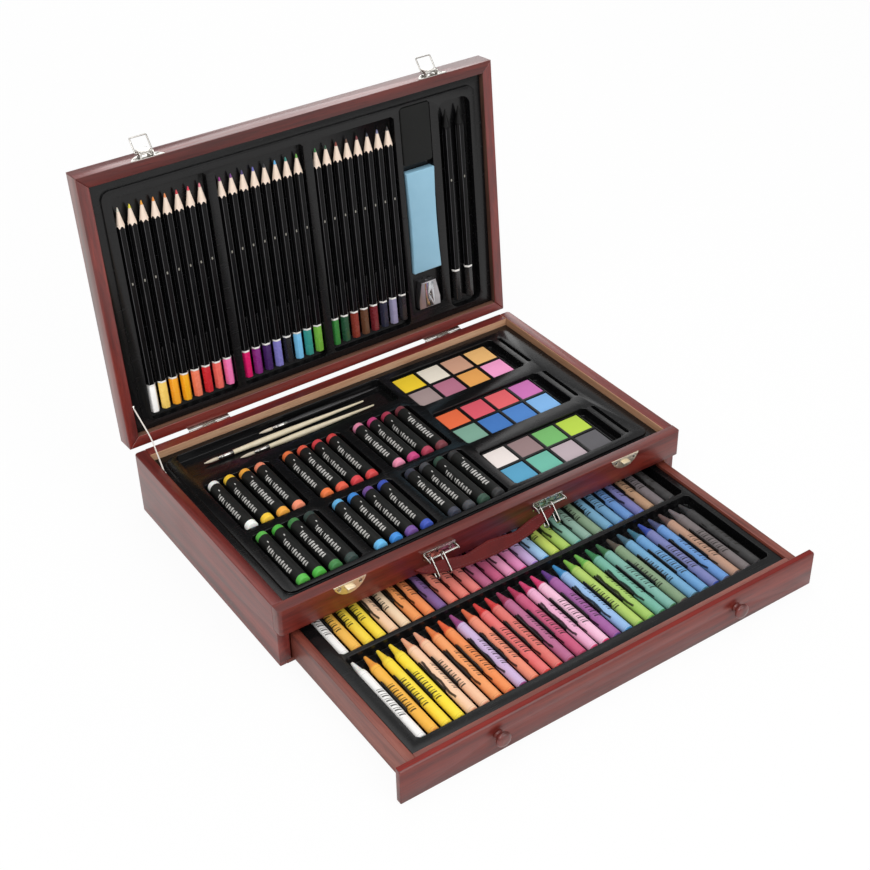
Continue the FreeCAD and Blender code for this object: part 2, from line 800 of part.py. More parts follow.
pockets = []
for row, front_text in (("front", "front_bays"), ("back", "back_bays")):
    for bay in range(int(number("pastel_bays"))):
        left = f"bays_left + {bay}*(bay_width + bay_bar)"
        span_y = (front_text, front_text + " + bay_length")
        pockets.append((f"{row}_bay_{bay + 1}", (left, left + " + bay_width"), span_y, "pastel_depth",
            "pocket_corner"))
groove_x = ("bays_left", "groove_right")
groove_y = ("groove_front", "groove_front + brush_groove_width")
pockets.append(("brush_groove", groove_x, groove_y, "brush_groove_depth", "pocket_corner"))
for row in range(int(number("pan_rows"))):
    middle = f"pan_first + {row}*pan_pitch"
    span_y = (middle + " - pan_width/2", middle + " + pan_width/2")
    pockets.append((f"pan_{row + 1}", ("pan_left", "pan_right"), span_y, "pan_recess", "pocket_corner"))
    slot_x = ("rest_slot_left", "rest_slot_left + rest_slot_width")
    slot_y = (middle + " - rest_slot_length/2", middle + " + rest_slot_length/2")
    pockets.append((f"slot_{row + 1}", slot_x, slot_y, "rest_slot_depth", "rest_slot_corner"))
upper_span = ("upper_tray_front", "upper_tray_back")
keep("upper_tray", tray("upper_tray", "upper_tray_right", upper_span, "rail_bottom", "upper_plateau",
    pockets))


# ---------------------------------------------------------------- upper bay contents

pastel = rod("pastel", "pastel_radius", ("0", "0", "0"), "y", "pastel_length", CRAYON_SIDES)
for label, front_text in (("pastels_front_row", "front_bays"), ("pastels_back_row", "back_bays")):
    per_bay = int(number("pastels_in_bay"))

    def pastel_place(index, front_text=front_text, per_bay=per_bay):
        """The start of one pastel's axis."""
        bay, spot = divmod(index, per_bay)
        left = f"bays_left + {bay}*(bay_width + bay_bar) + pastel_side_play/2"
        return (f"{left} + {spot + 0.5}*pastel_pitch", front_text + " + pastel_end_play", "pastel_axis")

    keep(label, group(label, repeat(label, pastel, int(number("pastel_bays")) * per_bay, pastel_place)))

brush_handles = []
brush_ferrules = []
brush_tufts = []
for index, size in enumerate(("long", "stout", "slim")):
    y = f"groove_front + brush_groove_width - brush_edge_space - {index}*brush_pitch"
    z = "upper_plateau - brush_groove_depth + brush_radius"
    brush_length = f"brush_tuft + brush_ferrule + {size}_brush_handle"
    start = f"bays_left + {size}_brush_share*(groove_right - bays_left - ({brush_length}))"
    ferrule_start = f"{start} + brush_tuft"
    handle_start = f"{ferrule_start} + brush_ferrule"
    handle_end = f"{handle_start} + {size}_brush_handle"
    tuft = rod(f"{size}_tuft_rod", "brush_ferrule_radius*brush_tuft_share", (start, y, z), "x",
        "brush_tuft", SCREW_SIDES)
    tuft_inset = "brush_ferrule_radius*brush_tuft_share - brush_end_radius"
    brush_tufts.append(point_end(f"{size}_tuft", tuft, "x", start, "brush_tuft*brush_tuft_share", tuft_inset))
    ferrule_at = (ferrule_start, y, z)
    brush_ferrules.append(rod(f"{size}_ferrule", "brush_ferrule_radius", ferrule_at, "x",
        "brush_ferrule", WIRE_SIDES))
    swell_length = f"{size}_brush_handle*brush_swell"
    tail_length = f"{size}_brush_handle*brush_tail"
    stick = rod(f"{size}_stick", "brush_radius", (handle_start, y, z), "x", f"{size}_brush_handle",
        SCREW_SIDES)
    necked = point_end(f"{size}_neck", stick, "x", handle_start, swell_length,
        "brush_radius - brush_ferrule_radius")
    handle = point_end(f"{size}_handle", necked, "x", handle_end, tail_length,
        "brush_radius - brush_end_radius")
    brush_handles.append(handle)
keep("brush_handles", group("brush_handles", brush_handles))
keep("brush_ferrules", group("brush_ferrules", brush_ferrules))
keep("brush_tufts", group("brush_tufts", brush_tufts))

palette_spans = (("0", "palette_length"), ("0", "palette_width"), ("0", "palette_height"))
palette_block = cut_corner_block("palette_body", *palette_spans, "palette_corner")
wells = []
cakes = []
for column in range(int(number("pan_columns"))):
    for line in range(2):
        x = f"palette_edge + {column}*cake_pitch"
        y = f"palette_edge + {line}*cake_pitch"
        name = f"{column + 1}_{line + 1}"
        span_x = (f"{x} - cake_play", f"{x} + cake_side + cake_play")
        span_y = (f"{y} - cake_play", f"{y} + cake_side + cake_play")
        wells.append(block("well_" + name, span_x, span_y, ("palette_floor", "palette_height")))
        span_x = (x, f"{x} + cake_side")
        span_y = (y, f"{y} + cake_side")
        cakes.append(block("cake_" + name, span_x, span_y,
            ("palette_floor", "palette_floor + cake_thickness")))
palette = cut("palette", palette_block, [group("wells", wells)])
cake_set = group("cake_set", cakes)
palettes = []
cake_sets = []
for row in range(int(number("pan_rows"))):
    corner = ("pan_left + pan_play", f"pan_first + {row}*pan_pitch - palette_width/2", "pan_floor")
    palettes.append(put(group(f"palette_{row + 1}", [palette]), *corner))
    cake_sets.append(put(group(f"cake_set_{row + 1}", [cake_set]), *corner))
keep("palettes", group("palette_stack", palettes))
keep("paint_cakes", group("cake_stack", cake_sets))


# ---------------------------------------------------------------- drawer

knob_sites = ["-knob_spread", "knob_spread"]
knob_screw_items = []
for index, x in enumerate(knob_sites, start=1):
    length = "knob_screw_grip + drawer_front_thickness + drawer_board"
    start = (x, "drawer_face - knob_screw_grip", "knob_height")
    shank = rod(f"knob_shank_{index}", "knob_screw_radius", start, "y", length, SCREW_SIDES)
    head_at = (x, "drawer_inner_front - knob_screw_head", "knob_height")
    head = rod(f"knob_screw_head_{index}", "knob_screw_head_radius", head_at, "y", "knob_screw_head",
        SCREW_SIDES)
    knob_screw_items.append(join(f"knob_screw_{index}", [shank, head]))
knob_screws = keep("knob_screws", group("knob_screws", knob_screw_items))

face_profile = [
    ("drawer_face", "drawer_front_lift"),
    ("drawer_front_back", "drawer_front_lift"),
    ("drawer_front_back", "drawer_front_top"),
    ("drawer_face + drawer_front_bevel", "drawer_front_top"),
    ("drawer_face", "drawer_front_top - drawer_front_bevel"),
]
drawer_front = pad("drawer_front_board", "YZ_Plane", face_profile, "-half_width", "half_width")
keep("drawer_front", cut("drawer_front_cut", drawer_front, [knob_screws]))

slab_x = ("-drawer_inner_right - floor_groove", "drawer_inner_right + floor_groove")
slab_y = ("drawer_inner_front - floor_groove", "drawer_inner_back + floor_groove")
drawer_floor = block("drawer_floor", slab_x, slab_y, ("floor_bottom", "floor_top"))
keep("drawer_bottom_panel", drawer_floor)
height = ("drawer_bottom", "drawer_top")
right_board = block("drawer_right", ("drawer_inner_right", "drawer_right"),
    ("drawer_front_back", "drawer_back"), height)
left_board = block("drawer_left", ("-drawer_right", "-drawer_inner_right"),
    ("drawer_front_back", "drawer_back"), height)
between = ("-drawer_inner_right", "drawer_inner_right")
front_board = block("drawer_inner", between, ("drawer_front_back", "drawer_inner_front"), height)
rear_board = block("drawer_rear", between, ("drawer_inner_back", "drawer_back"), height)
keep("drawer_right_side", cut("drawer_right_cut", right_board, [drawer_floor]))
keep("drawer_left_side", cut("drawer_left_cut", left_board, [drawer_floor]))
keep("drawer_inner_wall", cut("drawer_inner_cut", front_board, [drawer_floor, knob_screws]))
keep("drawer_back_wall", cut("drawer_rear_cut", rear_board, [drawer_floor]))

knob_neck = rod("knob_neck", "knob_neck_radius", ("0", "0", "0"), "y", "knob_length", KNOB_SIDES)
head_start = "knob_length - knob_head"
knob_blank = rod("knob_blank", "knob_radius", ("0", head_start, "0"), "y", "knob_head", KNOB_SIDES)
flare = "knob_radius - knob_neck_radius"
knob_flared = point_end("knob_flared", knob_blank, "y", head_start, "knob_bevel", flare)
dome = "knob_radius*knob_dome_share"
knob_head = point_end("knob_head_piece", knob_flared, "y", "knob_length", "knob_bevel", dome)
knob_body = join("knob", [knob_neck, knob_head])
knobs = []
for index, x in enumerate(knob_sites, start=1):
    knob = group(f"knob_{index}", [knob_body])
    knob.Placement = Placement(Vector(), Rotation(Vector(0, 0, 1), 180))
    knobs.append(put(knob, x, "drawer_face", "knob_height"))
keep("drawer_knobs", cut("drawer_knobs_cut", group("knob_pair", knobs), [knob_screws]))

channel_x = ("channel_left", "channel_right")
crayon_pockets = []
for row in ("front", "back"):
    span_y = (f"{row}_channel", f"{row}_channel + channel_length")
    crayon_pockets.append((f"{row}_channel", channel_x, span_y, "crayon_channel_depth", "pocket_corner"))
fin_z = ("crayon_plateau - crayon_channel_depth - tray_sheet/2",
    "crayon_plateau - crayon_channel_depth + fin_height")
fin = block("fin", ("-fin_width/2", "fin_width/2"), ("0", "fin_length"), fin_z)
crayons_in_row = int(number("crayon_count"))
fins = []
for row in ("front", "back"):

    def fin_place(index, row=row):
        """The front end of the fin between two crayons."""
        return (f"crayon_first + {index + 0.5}*crayon_pitch", f"{row}_channel + fin_start", "0")

    fins += repeat(f"{row}_fin", fin, crayons_in_row - 1, fin_place)
crayon_span = ("crayon_tray_front", "crayon_tray_back")
crayon_sheet = tray("crayon_tray", "crayon_tray_right", crayon_span, "floor_top", "crayon_plateau",
    crayon_pockets, False, fins)
keep("crayon_tray", crayon_sheet)

stick = rod("crayon_stick", "crayon_radius", ("0", "0", "0"), "y", "crayon_length", CRAYON_SIDES)
tip_inset = "crayon_radius - crayon_tip_radius"
crayon = point_end("crayon", stick, "y", "crayon_length", "crayon_tip", tip_inset)
for row in ("front", "back"):

    def crayon_place(index, row=row):
        """The blunt end of one crayon's axis."""
        return (f"crayon_first + {index}*crayon_pitch", f"{row}_channel + crayon_end_play/2", "crayon_axis")

    keep(f"crayons_{row}_row", group(f"crayons_{row}_row",
        repeat(f"{row}_crayon", crayon, crayons_in_row, crayon_place)))


# ---------------------------------------------------------------- lid, drawn closed

panel_x = ("-lid_inner_right - rebate", "lid_inner_right + rebate")
panel_y = ("lid_inner_front - rebate", "lid_inner_back + rebate")
lid_panel = block("lid_panel", panel_x, panel_y, ("lid_panel_bottom", "lid_top"))
keep("lid_top_panel", lid_panel, True)

plate_zone_z = ("rim + plate_inset", "rim + plate_inset + plate_height")


def half_oval(name, centre, hangs_down):
    """A small plate on the front face with one straight and one bowed edge."""
    span_x = (f"{centre} - plate_width/2", f"{centre} + plate_width/2")
    span_y = ("front - plate_thickness", "front")
    if hangs_down:
        span_z = ("rim - plate_inset - plate_height", "rim - plate_inset")
        middle = "rim - plate_inset - plate_height + plate_radius"
    else:
        span_z = plate_zone_z
        middle = "rim + plate_inset + plate_height - plate_radius"
    disc_at = (centre, "front - plate_thickness", middle)
    disc = rod(name + "_disc", "plate_radius", disc_at, "y", "plate_thickness", PLATE_SIDES)
    common = doc.addObject("Part::Common", name)
    common.Base = block(name + "_block", span_x, span_y, span_z)
    common.Tool = disc
    return common


catch_screw_spots = []
for side, centre in catch_spots:
    for turn in ("-", "+"):
        catch_screw_spots.append((f"{centre} {turn} plate_screw_spread",
            "rim + plate_inset + plate_screw_drop"))
catch_screws = screws("catch_screws", catch_screw_spots, "front - plate_thickness", 1)

LID_RAILS = {
    "lid_front_rail": (("-half_width", "front"), ("half_width", "front"),
                       ("lid_inner_right", "lid_inner_front"), ("-lid_inner_right", "lid_inner_front")),
    "lid_back_rail": (("half_width", "back"), ("-half_width", "back"),
                      ("-lid_inner_right", "lid_inner_back"), ("lid_inner_right", "lid_inner_back")),
    "lid_right_rail": (("half_width", "front"), ("half_width", "back"),
                       ("lid_inner_right", "lid_inner_back"), ("lid_inner_right", "lid_inner_front")),
    "lid_left_rail": (("-half_width", "back"), ("-half_width", "front"),
                      ("-lid_inner_right", "lid_inner_front"), ("-lid_inner_right", "lid_inner_back")),
}
for label, corners in LID_RAILS.items():
    bar = pad(label + "_bar", "XY_Plane", corners, "rim", "lid_top")
    tools = [lid_panel]
    if label == "lid_front_rail":
        tools.append(catch_screws)
    if label == "lid_back_rail":
        tools.append(lid_leaf_screws)
    keep(label, cut(label + "_cut", bar, tools), True)

# pencils
corner_radius = "pencil_flats/sqrt(3)"
barrel = rod("pencil_barrel", corner_radius, ("0", "0", "0"), "y", "pencil_length", PENCIL_SIDES)
pencil = point_end("pencil", barrel, "y", "0", "pencil_cone", corner_radius + " - lead_radius/2")

pencil_pockets = []
pencil_fins = []
pencil_count = int(number("pencils_in_bay"))
fin_low = "lid_plateau + pencil_depth - pencil_fin_height"
pencil_fin_start = "pencil_bay_back - pencil_fin_length"
pencil_fin_z = (fin_low, "lid_plateau + pencil_depth + tray_sheet/2")
pencil_fin = block("pencil_fin", ("-pencil_fin_width/2", "pencil_fin_width/2"),
    ("0", "pencil_fin_length/2"), pencil_fin_z)
for bay in range(int(number("pencil_bays"))):
    left = f"pencil_bays_left + {bay}*(pencil_bay_width + pencil_bar)"
    span_y = ("pencil_bay_front", "pencil_bay_back")
    pencil_pockets.append((f"pencil_bay_{bay + 1}", (left, left + " + pencil_bay_width"), span_y,
        "pencil_depth", "pocket_corner"))

    def pencil_place(index, left=left):
        """The tip of one pencil."""
        return (f"{left} + {index + 0.5}*pencil_pitch", "pencil_tips", "pencil_axis")

    def pencil_fin_place(index, left=left):
        """The front end of the fin between two pencils."""
        return (f"{left} + {index + 1}*pencil_pitch", pencil_fin_start, "0")

    copies = repeat(f"pencil_{bay + 1}", pencil, pencil_count, pencil_place)
    keep(f"pencils_bay_{bay + 1}", group(f"pencils_bay_{bay + 1}_set", copies), True)
    pencil_fins += repeat(f"pencil_fin_{bay + 1}", pencil_fin, pencil_count - 1, pencil_fin_place)

sketch_count = int(number("sketch_count"))


def sketch_place(index):
    """The tip of one sketching pencil."""
    return (f"sketch_first + {index}*sketch_pitch", "pencil_tips", "pencil_axis")


sketch_set = group("sketch_pencil_set", repeat("sketch_pencil", pencil, sketch_count, sketch_place))
keep("sketch_pencils", sketch_set, True)

tools_x = ("tools_left", "tools_right")
tools_y = ("pad_front - tool_play", "sharpener_front + sharpener_length + tool_play")
pencil_pockets.append(("tools", tools_x, tools_y, "tool_pocket_depth", "pocket_corner"))
sketch_x = ("sketch_left", "sketch_left + sketch_pocket_width")
pencil_pockets.append(("sketch", sketch_x, ("pencil_bay_front", "pencil_bay_back"), "pencil_depth",
    "sketch_corner"))
pencil_span = ("pencil_tray_front", "pencil_tray_back")
pencil_sheet = tray("pencil_tray", "pencil_tray_right", pencil_span, "lid_panel_bottom", "lid_plateau",
    pencil_pockets, True, pencil_fins)
keep("pencil_tray", pencil_sheet, True)

# rubber, pad and sharpener
body_x = ("tools_left + tool_play", "tools_right - tool_play")
pad_z = ("tool_floor - pad_thickness", "tool_floor")
soft_pad = round_block("soft_pad", body_x, ("pad_front", "pad_back"), pad_z, "pocket_corner")
keep("sanding_pad", soft_pad, True)

eraser_z = ("tool_floor - eraser_thickness", "tool_floor")
eraser_block = block("eraser_block", body_x, ("eraser_front", "eraser_back"), eraser_z)
waist_radius = "(eraser_length*eraser_length/4 + eraser_waist*eraser_waist)/(2*eraser_waist)"
eraser_mid = "eraser_front + eraser_length/2"
waists = []
for name, x in (("left", f"tools_left + tool_play + eraser_waist - {waist_radius}"),
                ("right", f"tools_right - tool_play - eraser_waist + {waist_radius}")):
    start = (x, eraser_mid, "tool_floor - eraser_thickness")
    waists.append(rod(f"waist_{name}", waist_radius, start, "z", "eraser_thickness"))
keep("eraser", cut("eraser_cut", eraser_block, waists), True)

sharpener_middle = "(tools_left + tools_right)/2"
sharpener_outline = [
    (f"{sharpener_middle} - sharpener_nose/2", "sharpener_front"),
    (f"{sharpener_middle} + sharpener_nose/2", "sharpener_front"),
    (f"{sharpener_middle} + sharpener_width/2", "sharpener_front + sharpener_length*sharpener_waist_share"),
    (f"{sharpener_middle} + sharpener_width/2", "sharpener_front + sharpener_length"),
    (f"{sharpener_middle} - sharpener_width/2", "sharpener_front + sharpener_length"),
    (f"{sharpener_middle} - sharpener_width/2", "sharpener_front + sharpener_length*sharpener_waist_share"),
]
wedge = pad("sharpener_wedge", "XY_Plane", sharpener_outline, "tool_floor - sharpener_height", "tool_floor")
cone_at = (sharpener_middle, "sharpener_front", "tool_floor - sharpener_height/2")
hole = rod("sharpener_hole", "sharpener_hole_radius", cone_at, "y", "sharpener_length", ROUND_SIDES)
bore_inset = "sharpener_hole_radius - lead_radius"
bore_length = "sharpener_length*sharpener_hole_share"
sharpener_hole = point_end("sharpener_bore", hole, "y", "sharpener_front", bore_length, bore_inset)
blade_x = (f"{sharpener_middle} - blade_width/2", f"{sharpener_middle} + blade_width/2")
blade_y = ("sharpener_front + blade_inset", "sharpener_front + sharpener_length - blade_inset")
blade_z = ("tool_floor - sharpener_height - blade_thickness", "tool_floor - sharpener_height")
blade = block("blade_block", blade_x, blade_y, blade_z)
stud_at = (sharpener_middle, "sharpener_front + sharpener_length/2",
    "tool_floor - sharpener_height - 2*blade_thickness")
stud = rod("sharpener_screw", "screw_radius", stud_at, "z", "2*blade_thickness + sharpener_height/8",
    SCREW_SIDES)
keep("sharpener_body", cut("sharpener_body_cut", wedge, [sharpener_hole, stud]), True)
keep("sharpener_blade", cut("sharpener_blade_cut", blade, [stud]), True)
keep("sharpener_screw", stud, True)


# ---------------------------------------------------------------- hinges

base_leaves = []
lid_leaves = []
pins = []
for index, centre in enumerate(hinge_spots, start=1):
    ends = (f"{centre} - hinge_length/2", f"{centre} + hinge_length/2")
    gap_left = f"{centre} - knuckle_length/2"
    gap_right = f"{centre} + knuckle_length/2"
    hinge_hole = pin_bore(f"hinge_bore_{index}", "hinge_pin_radius", (ends[0], "hinge_y", "hinge_z"),
        "x", "hinge_length")
    pin_at = (ends[0], "hinge_y", "hinge_z")
    pins.append(rod(f"hinge_pin_{index}", "hinge_pin_radius", pin_at, "x", "hinge_length"))
    leaf_y = ("back", "back + leaf_thickness")
    base_z = ("hinge_z - leaf_height", "hinge_z - knuckle_radius + leaf_thickness")
    bend_z = ("hinge_z - knuckle_radius", "hinge_z - knuckle_radius + leaf_thickness")
    parts = [block(f"base_leaf_{index}", ends, leaf_y, base_z)]
    for name, low, high in (("a", ends[0], gap_left), ("b", gap_right, ends[1])):
        parts.append(block(f"base_bend_{index}{name}", (low, high), ("back", "hinge_y"), bend_z))
        start = (low, "hinge_y", "hinge_z")
        parts.append(rod(f"base_knuckle_{index}{name}", "knuckle_radius", start, "x",
            f"({high}) - ({low})", WIRE_SIDES))
    base_leaves.append(cut(f"base_leaf_cut_{index}", join(f"base_leaf_all_{index}", parts),
        [hinge_hole, base_leaf_screws]))
    lid_z = ("hinge_z + knuckle_radius - leaf_thickness", "hinge_z + leaf_height")
    bend_z = ("hinge_z + knuckle_radius - leaf_thickness", "hinge_z + knuckle_radius")
    low = f"{gap_left} + knuckle_gap"
    high = f"{gap_right} - knuckle_gap"
    knuckle = rod(f"lid_knuckle_{index}", "knuckle_radius", (low, "hinge_y", "hinge_z"), "x",
        f"({high}) - ({low})", WIRE_SIDES)
    bend = block(f"lid_bend_{index}", (low, high), ("back", "hinge_y"), bend_z)
    plate = block(f"lid_leaf_{index}", ends, leaf_y, lid_z)
    lid_leaves.append(cut(f"lid_leaf_cut_{index}", join(f"lid_leaf_all_{index}",
        [plate, bend, knuckle]), [hinge_hole, lid_leaf_screws]))
keep("hinge_base_leaves", group("hinge_base_leaf_pair", base_leaves))
keep("hinge_lid_leaves", group("hinge_lid_leaf_pair", lid_leaves), True)
keep("hinge_pins", group("hinge_pin_pair", pins))
keep("hinge_base_screws", base_leaf_screws)
keep("hinge_lid_screws", lid_leaf_screws, True)


# ---------------------------------------------------------------- catches and strikes

strikes = []
for index, (side, centre) in enumerate(catch_spots, start=1):
    hook_profile = [
        ("front - plate_thickness", "rim - hook_drop"),
        ("front - plate_thickness", "rim - hook_drop + hook_sheet"),
        ("front - hook_out", "rim - hook_drop + hook_sheet"),
        ("front - hook_out", "rim - hook_drop + hook_sheet - hook_lip"),
        ("front - hook_out + hook_sheet", "rim - hook_drop + hook_sheet - hook_lip"),
        ("front - hook_out + hook_sheet", "rim - hook_drop"),
    ]
    span = (f"{centre} - hook_width/2", f"{centre} + hook_width/2")
    hook = pad(f"hook_{index}", "YZ_Plane", hook_profile, *span)
    plate = half_oval(f"strike_plate_{index}", centre, True)
    strikes.append(cut(f"strike_{index}", join(f"strike_all_{index}", [plate, hook]), [strike_screws]))
keep("strike_plates", group("strike_pair", strikes))

catch_plates = []
catch_pins = []
for index, (side, centre) in enumerate(catch_spots, start=1):
    plate = half_oval(f"catch_plate_{index}", centre, False)
    reach = "ear_half_gap + ear_thickness"
    pin_start = (f"{centre} - ({reach})", "catch_axis_y", "catch_axis_z")
    pin = rod(f"catch_pin_{index}", "catch_pin_radius", pin_start, "x", f"2*({reach})")
    parts = [plate]
    for name, low in (("a", f"{centre} - ({reach})"), ("b", f"{centre} + ear_half_gap")):
        span = (low, f"{low} + ear_thickness")
        ear_y = ("catch_axis_y", "front")
        ear_z = ("catch_axis_z - ear_radius", "catch_axis_z + ear_radius")
        parts.append(block(f"ear_foot_{index}{name}", span, ear_y, ear_z))
        start = (low, "catch_axis_y", "catch_axis_z")
        parts.append(rod(f"ear_round_{index}{name}", "ear_radius", start, "x", "ear_thickness", WIRE_SIDES))
    pin_hole = pin_bore(f"catch_pin_hole_{index}", "catch_pin_radius", pin_start, "x", f"2*({reach})")
    catch_plates.append(cut(f"catch_{index}", join(f"catch_all_{index}", parts), [pin_hole, catch_screws]))
    catch_pins.append(pin)

    label = ("left", "right")[index - 1] + "_catch"
    lever_x = (f"{centre} - lever_half_width", f"{centre} + lever_half_width")
    lever_y = ("catch_axis_y - lever_front", "catch_axis_y + lever_front")
    lever_z = ("catch_axis_z - lever_tail", "catch_axis_z + lever_length")
    channel = block(f"{label}_channel", lever_x, lever_y, lever_z)
    inner_x = (f"{centre} - lever_half_width + lever_sheet", f"{centre} + lever_half_width - lever_sheet")
    inner_y = ("catch_axis_y - lever_front + lever_sheet", "front")
    slot = block(f"{label}_slot", inner_x, inner_y, ("rim - plate_height", "rim + 2*plate_height"))
    bores = []
    for name, z, radius in (("pin", "catch_axis_z", "catch_pin_radius"),
        ("bail", "bail_axis_z", "bail_wire/2")):
        start = (lever_x[0], "catch_axis_y", z)
        bores.append(pin_bore(f"{label}_{name}_bore", radius, start, "x", "2*lever_half_width", ROUND_SIDES))
    keep(f"{label}_lever", cut(f"{label}_lever_cut", channel, [slot] + bores), True)

    wire = "bail_wire/2"
    inner_end = "lever_half_width - lever_sheet"
    pieces = []
    for name, side_text, low in (("a", "-bail_half_width", "-bail_half_width"),
        ("b", "bail_half_width", inner_end)):
        leg_at = (side_text, f"-{wire}", "0")
        pieces.append(rod(f"{label}_leg_{name}", wire, leg_at, "y", f"bail_reach + 2*{wire}", WIRE_SIDES))
        end_length = f"bail_half_width - ({inner_end})"
        pieces.append(rod(f"{label}_end_{name}", wire, (low, "0", "0"), "x", end_length))
    crossbar_at = ("-bail_half_width", "bail_reach", "0")
    pieces.append(rod(f"{label}_crossbar", wire, crossbar_at, "x", "2*bail_half_width", WIRE_SIDES))
    bail = group(f"{label}_bail_closed", [join(f"{label}_bail_wire", pieces)])
    bail.Placement = Placement(Vector(), Rotation(Vector(-1, 0, 0), 1))
    bind(bail, Placement_Rotation_Angle="bail_back_angle + 90")
    put(bail, centre, "catch_axis_y", "bail_axis_z")
    keep(f"{label}_bail", bail, True)
keep("catch_plates", group("catch_pair", catch_plates), True)
keep("catch_pins", group("catch_pin_pair", catch_pins), True)
keep("catch_screws", catch_screws, True)


# ---------------------------------------------------------------- carrying handle

brackets = []
for index, centre in enumerate(bracket_spots, start=1):
    ends = (f"{centre} - bracket_length/2", f"{centre} + bracket_length/2")
    plate_y = ("front - bracket_thickness", "front")
    plate_z = ("handle_axis_height - bracket_height/2", "handle_axis_height + bracket_height/2")
    parts = [block(f"bracket_plate_{index}", ends, plate_y, plate_z)]
    for name, low in (("a", ends[0]), ("b", f"{ends[1]} - bracket_thickness")):
        ear_x = (low, f"{low} + bracket_thickness")
        ear_z = ("handle_axis_height - 2*bracket_bar_radius", "handle_axis_height + 2*bracket_bar_radius")
        parts.append(block(f"bracket_ear_{index}{name}", ear_x, ("handle_axis_y", "front"), ear_z))
        start = (low, "handle_axis_y", "handle_axis_height")
        eye = rod(f"bracket_eye_{index}{name}", "2*bracket_bar_radius", start, "x", "bracket_thickness",
            WIRE_SIDES)
        parts.append(eye)
    start = (ends[0], "handle_axis_y", "handle_axis_height")
    parts.append(rod(f"bracket_bar_{index}", "bracket_bar_radius", start, "x", "bracket_length"))
    brackets.append(cut(f"bracket_{index}", join(f"bracket_all_{index}", parts), [bracket_screws]))
keep("handle_brackets", group("bracket_pair", brackets))
keep("rail_screws", group("rail_screw_set", [strike_screws, bracket_screws]))


def hang(label, item):
    """Turn a piece drawn with +Y away from the handle axis into its hanging place."""
    placed = group(label, [item])
    placed.Placement = Placement(Vector(), Rotation(Vector(1, 0, 0), 1))
    bind(placed, Placement_Rotation_Angle="180 + handle_hang_angle")
    put(placed, "0", "handle_axis_y", "handle_axis_height")
    return keep(label, placed)


links = []
link_top = "-bracket_bar_radius - link_play"
link_end = "handle_sag - link_play*8"
for index, centre in enumerate(bracket_spots, start=1):
    for name, turn in (("a", "-"), ("b", "+")):
        middle = f"{centre} - link_shift {turn} link_pitch/2"
        hole_x = (f"{middle} - link_wire/2", f"{middle} + link_wire/2")
        hole_y = (link_top, link_end)
        hole_z = ("-link_inside", "link_inside")
        rim_y = (f"{link_top} - link_wire", f"{link_end} + link_wire")
        rim_z = ("-link_inside - link_wire", "link_inside + link_wire")
        ring = cut_corner_block(f"link_ring_{index}{name}", hole_x, rim_y, rim_z, "link_wire", "x")
        links.append(cut(f"link_{index}{name}", ring,
            [block(f"link_hole_{index}{name}", hole_x, hole_y, hole_z)]))
hang("handle_links", group("link_set", links))


def grip_shape():
    """The strap: narrow ends, a broad middle and a wavy inner edge, with its edges rounded."""
    half = number("handle_half_length")
    sag = number("handle_sag")
    middle = number("handle_middle")
    top = number("2*bracket_bar_radius + 2*link_play")
    thickness = number("handle_thickness")
    lower = [(1.0, 0.22), (0.9, 0.47), (0.62, 0.78), (0.31, 0.945), (0.0, 1.0)]
    upper = [(0.0, 0.0), (0.17, 0.1), (0.38, 0.2), (0.64, -0.1), (1.0, -0.2)]
    rise = sag - middle
    lower_edge = [(share * half, sag * drop) for share, drop in lower]
    upper_edge = [(share * half, middle + rise * lift) for share, lift in upper]
    upper_edge[-1] = (half, top)
    upper_edge[-2] = (0.66 * half, (top + middle) / 2)

    def edge_points(points):
        """The points of a symmetric edge from left to right."""
        points = sorted(points)
        return [Vector(-x, y, 0) for x, y in reversed(points[1:])] + [Vector(x, y, 0) for x, y in points]

    corners = []
    for edge, side in ((lower_edge, 1), (upper_edge, -1)):
        curve = Part.BSplineCurve()
        curve.interpolate(edge_points(edge)[::side])
        corners += curve.discretize(Number=GRIP_STEPS)
        tip = half + number("handle_round")
        for share in (0.75, 0.25) if side < 0 else (0.25, 0.75):
            height = lower_edge[0][1] + share * (top - lower_edge[0][1])
            corners.append(Vector(side * tip, height, 0))
    wire = Part.makePolygon(corners + corners[:1])
    solid = Part.Face(wire).extrude(Vector(0, 0, thickness))
    solid.translate(Vector(0, 0, -thickness / 2))
    return solid


grip = doc.addObject("Part::Feature", "grip")
grip.Shape = grip_shape()
shifted = put(group("grip_shifted", [grip]), "-handle_shift", "0", "0")
hang("handle_grip", shifted)


# ---------------------------------------------------------------- stay cord

base_pin_at = ("-inner_right", "inner_back - stay_back", "base_height - stay_pin_drop")
lid_pin_at = ("-lid_inner_right", "lid_inner_back - stay_lid_back", "rim + stay_lid_drop")
base_button = rod("stay_button_base", "stay_pin_radius", base_pin_at, "x", "stay_pin_length", WIRE_SIDES)
lid_button = rod("stay_button_lid", "stay_pin_radius", lid_pin_at, "x", "stay_pin_length", WIRE_SIDES)


def collar(name, anchor, toward):
    """A short barrel that stands on a button and faces along the cord."""
    item = doc.addObject("Part::Prism", name)
    item.Polygon = WIRE_SIDES
    bind(item, Circumradius="stay_collar_radius", Height="stay_collar_length")
    item.Placement = Placement(anchor, Rotation(Vector(0, 0, 1), toward))
    return item


def lid_point(x, y, z):
    """Where a point of the closed lid lies once the lid is open."""
    placed = next(item for item in nodes if item.Label == "lid_left_rail").Placement
    return placed.multVec(Vector(x, y, z))


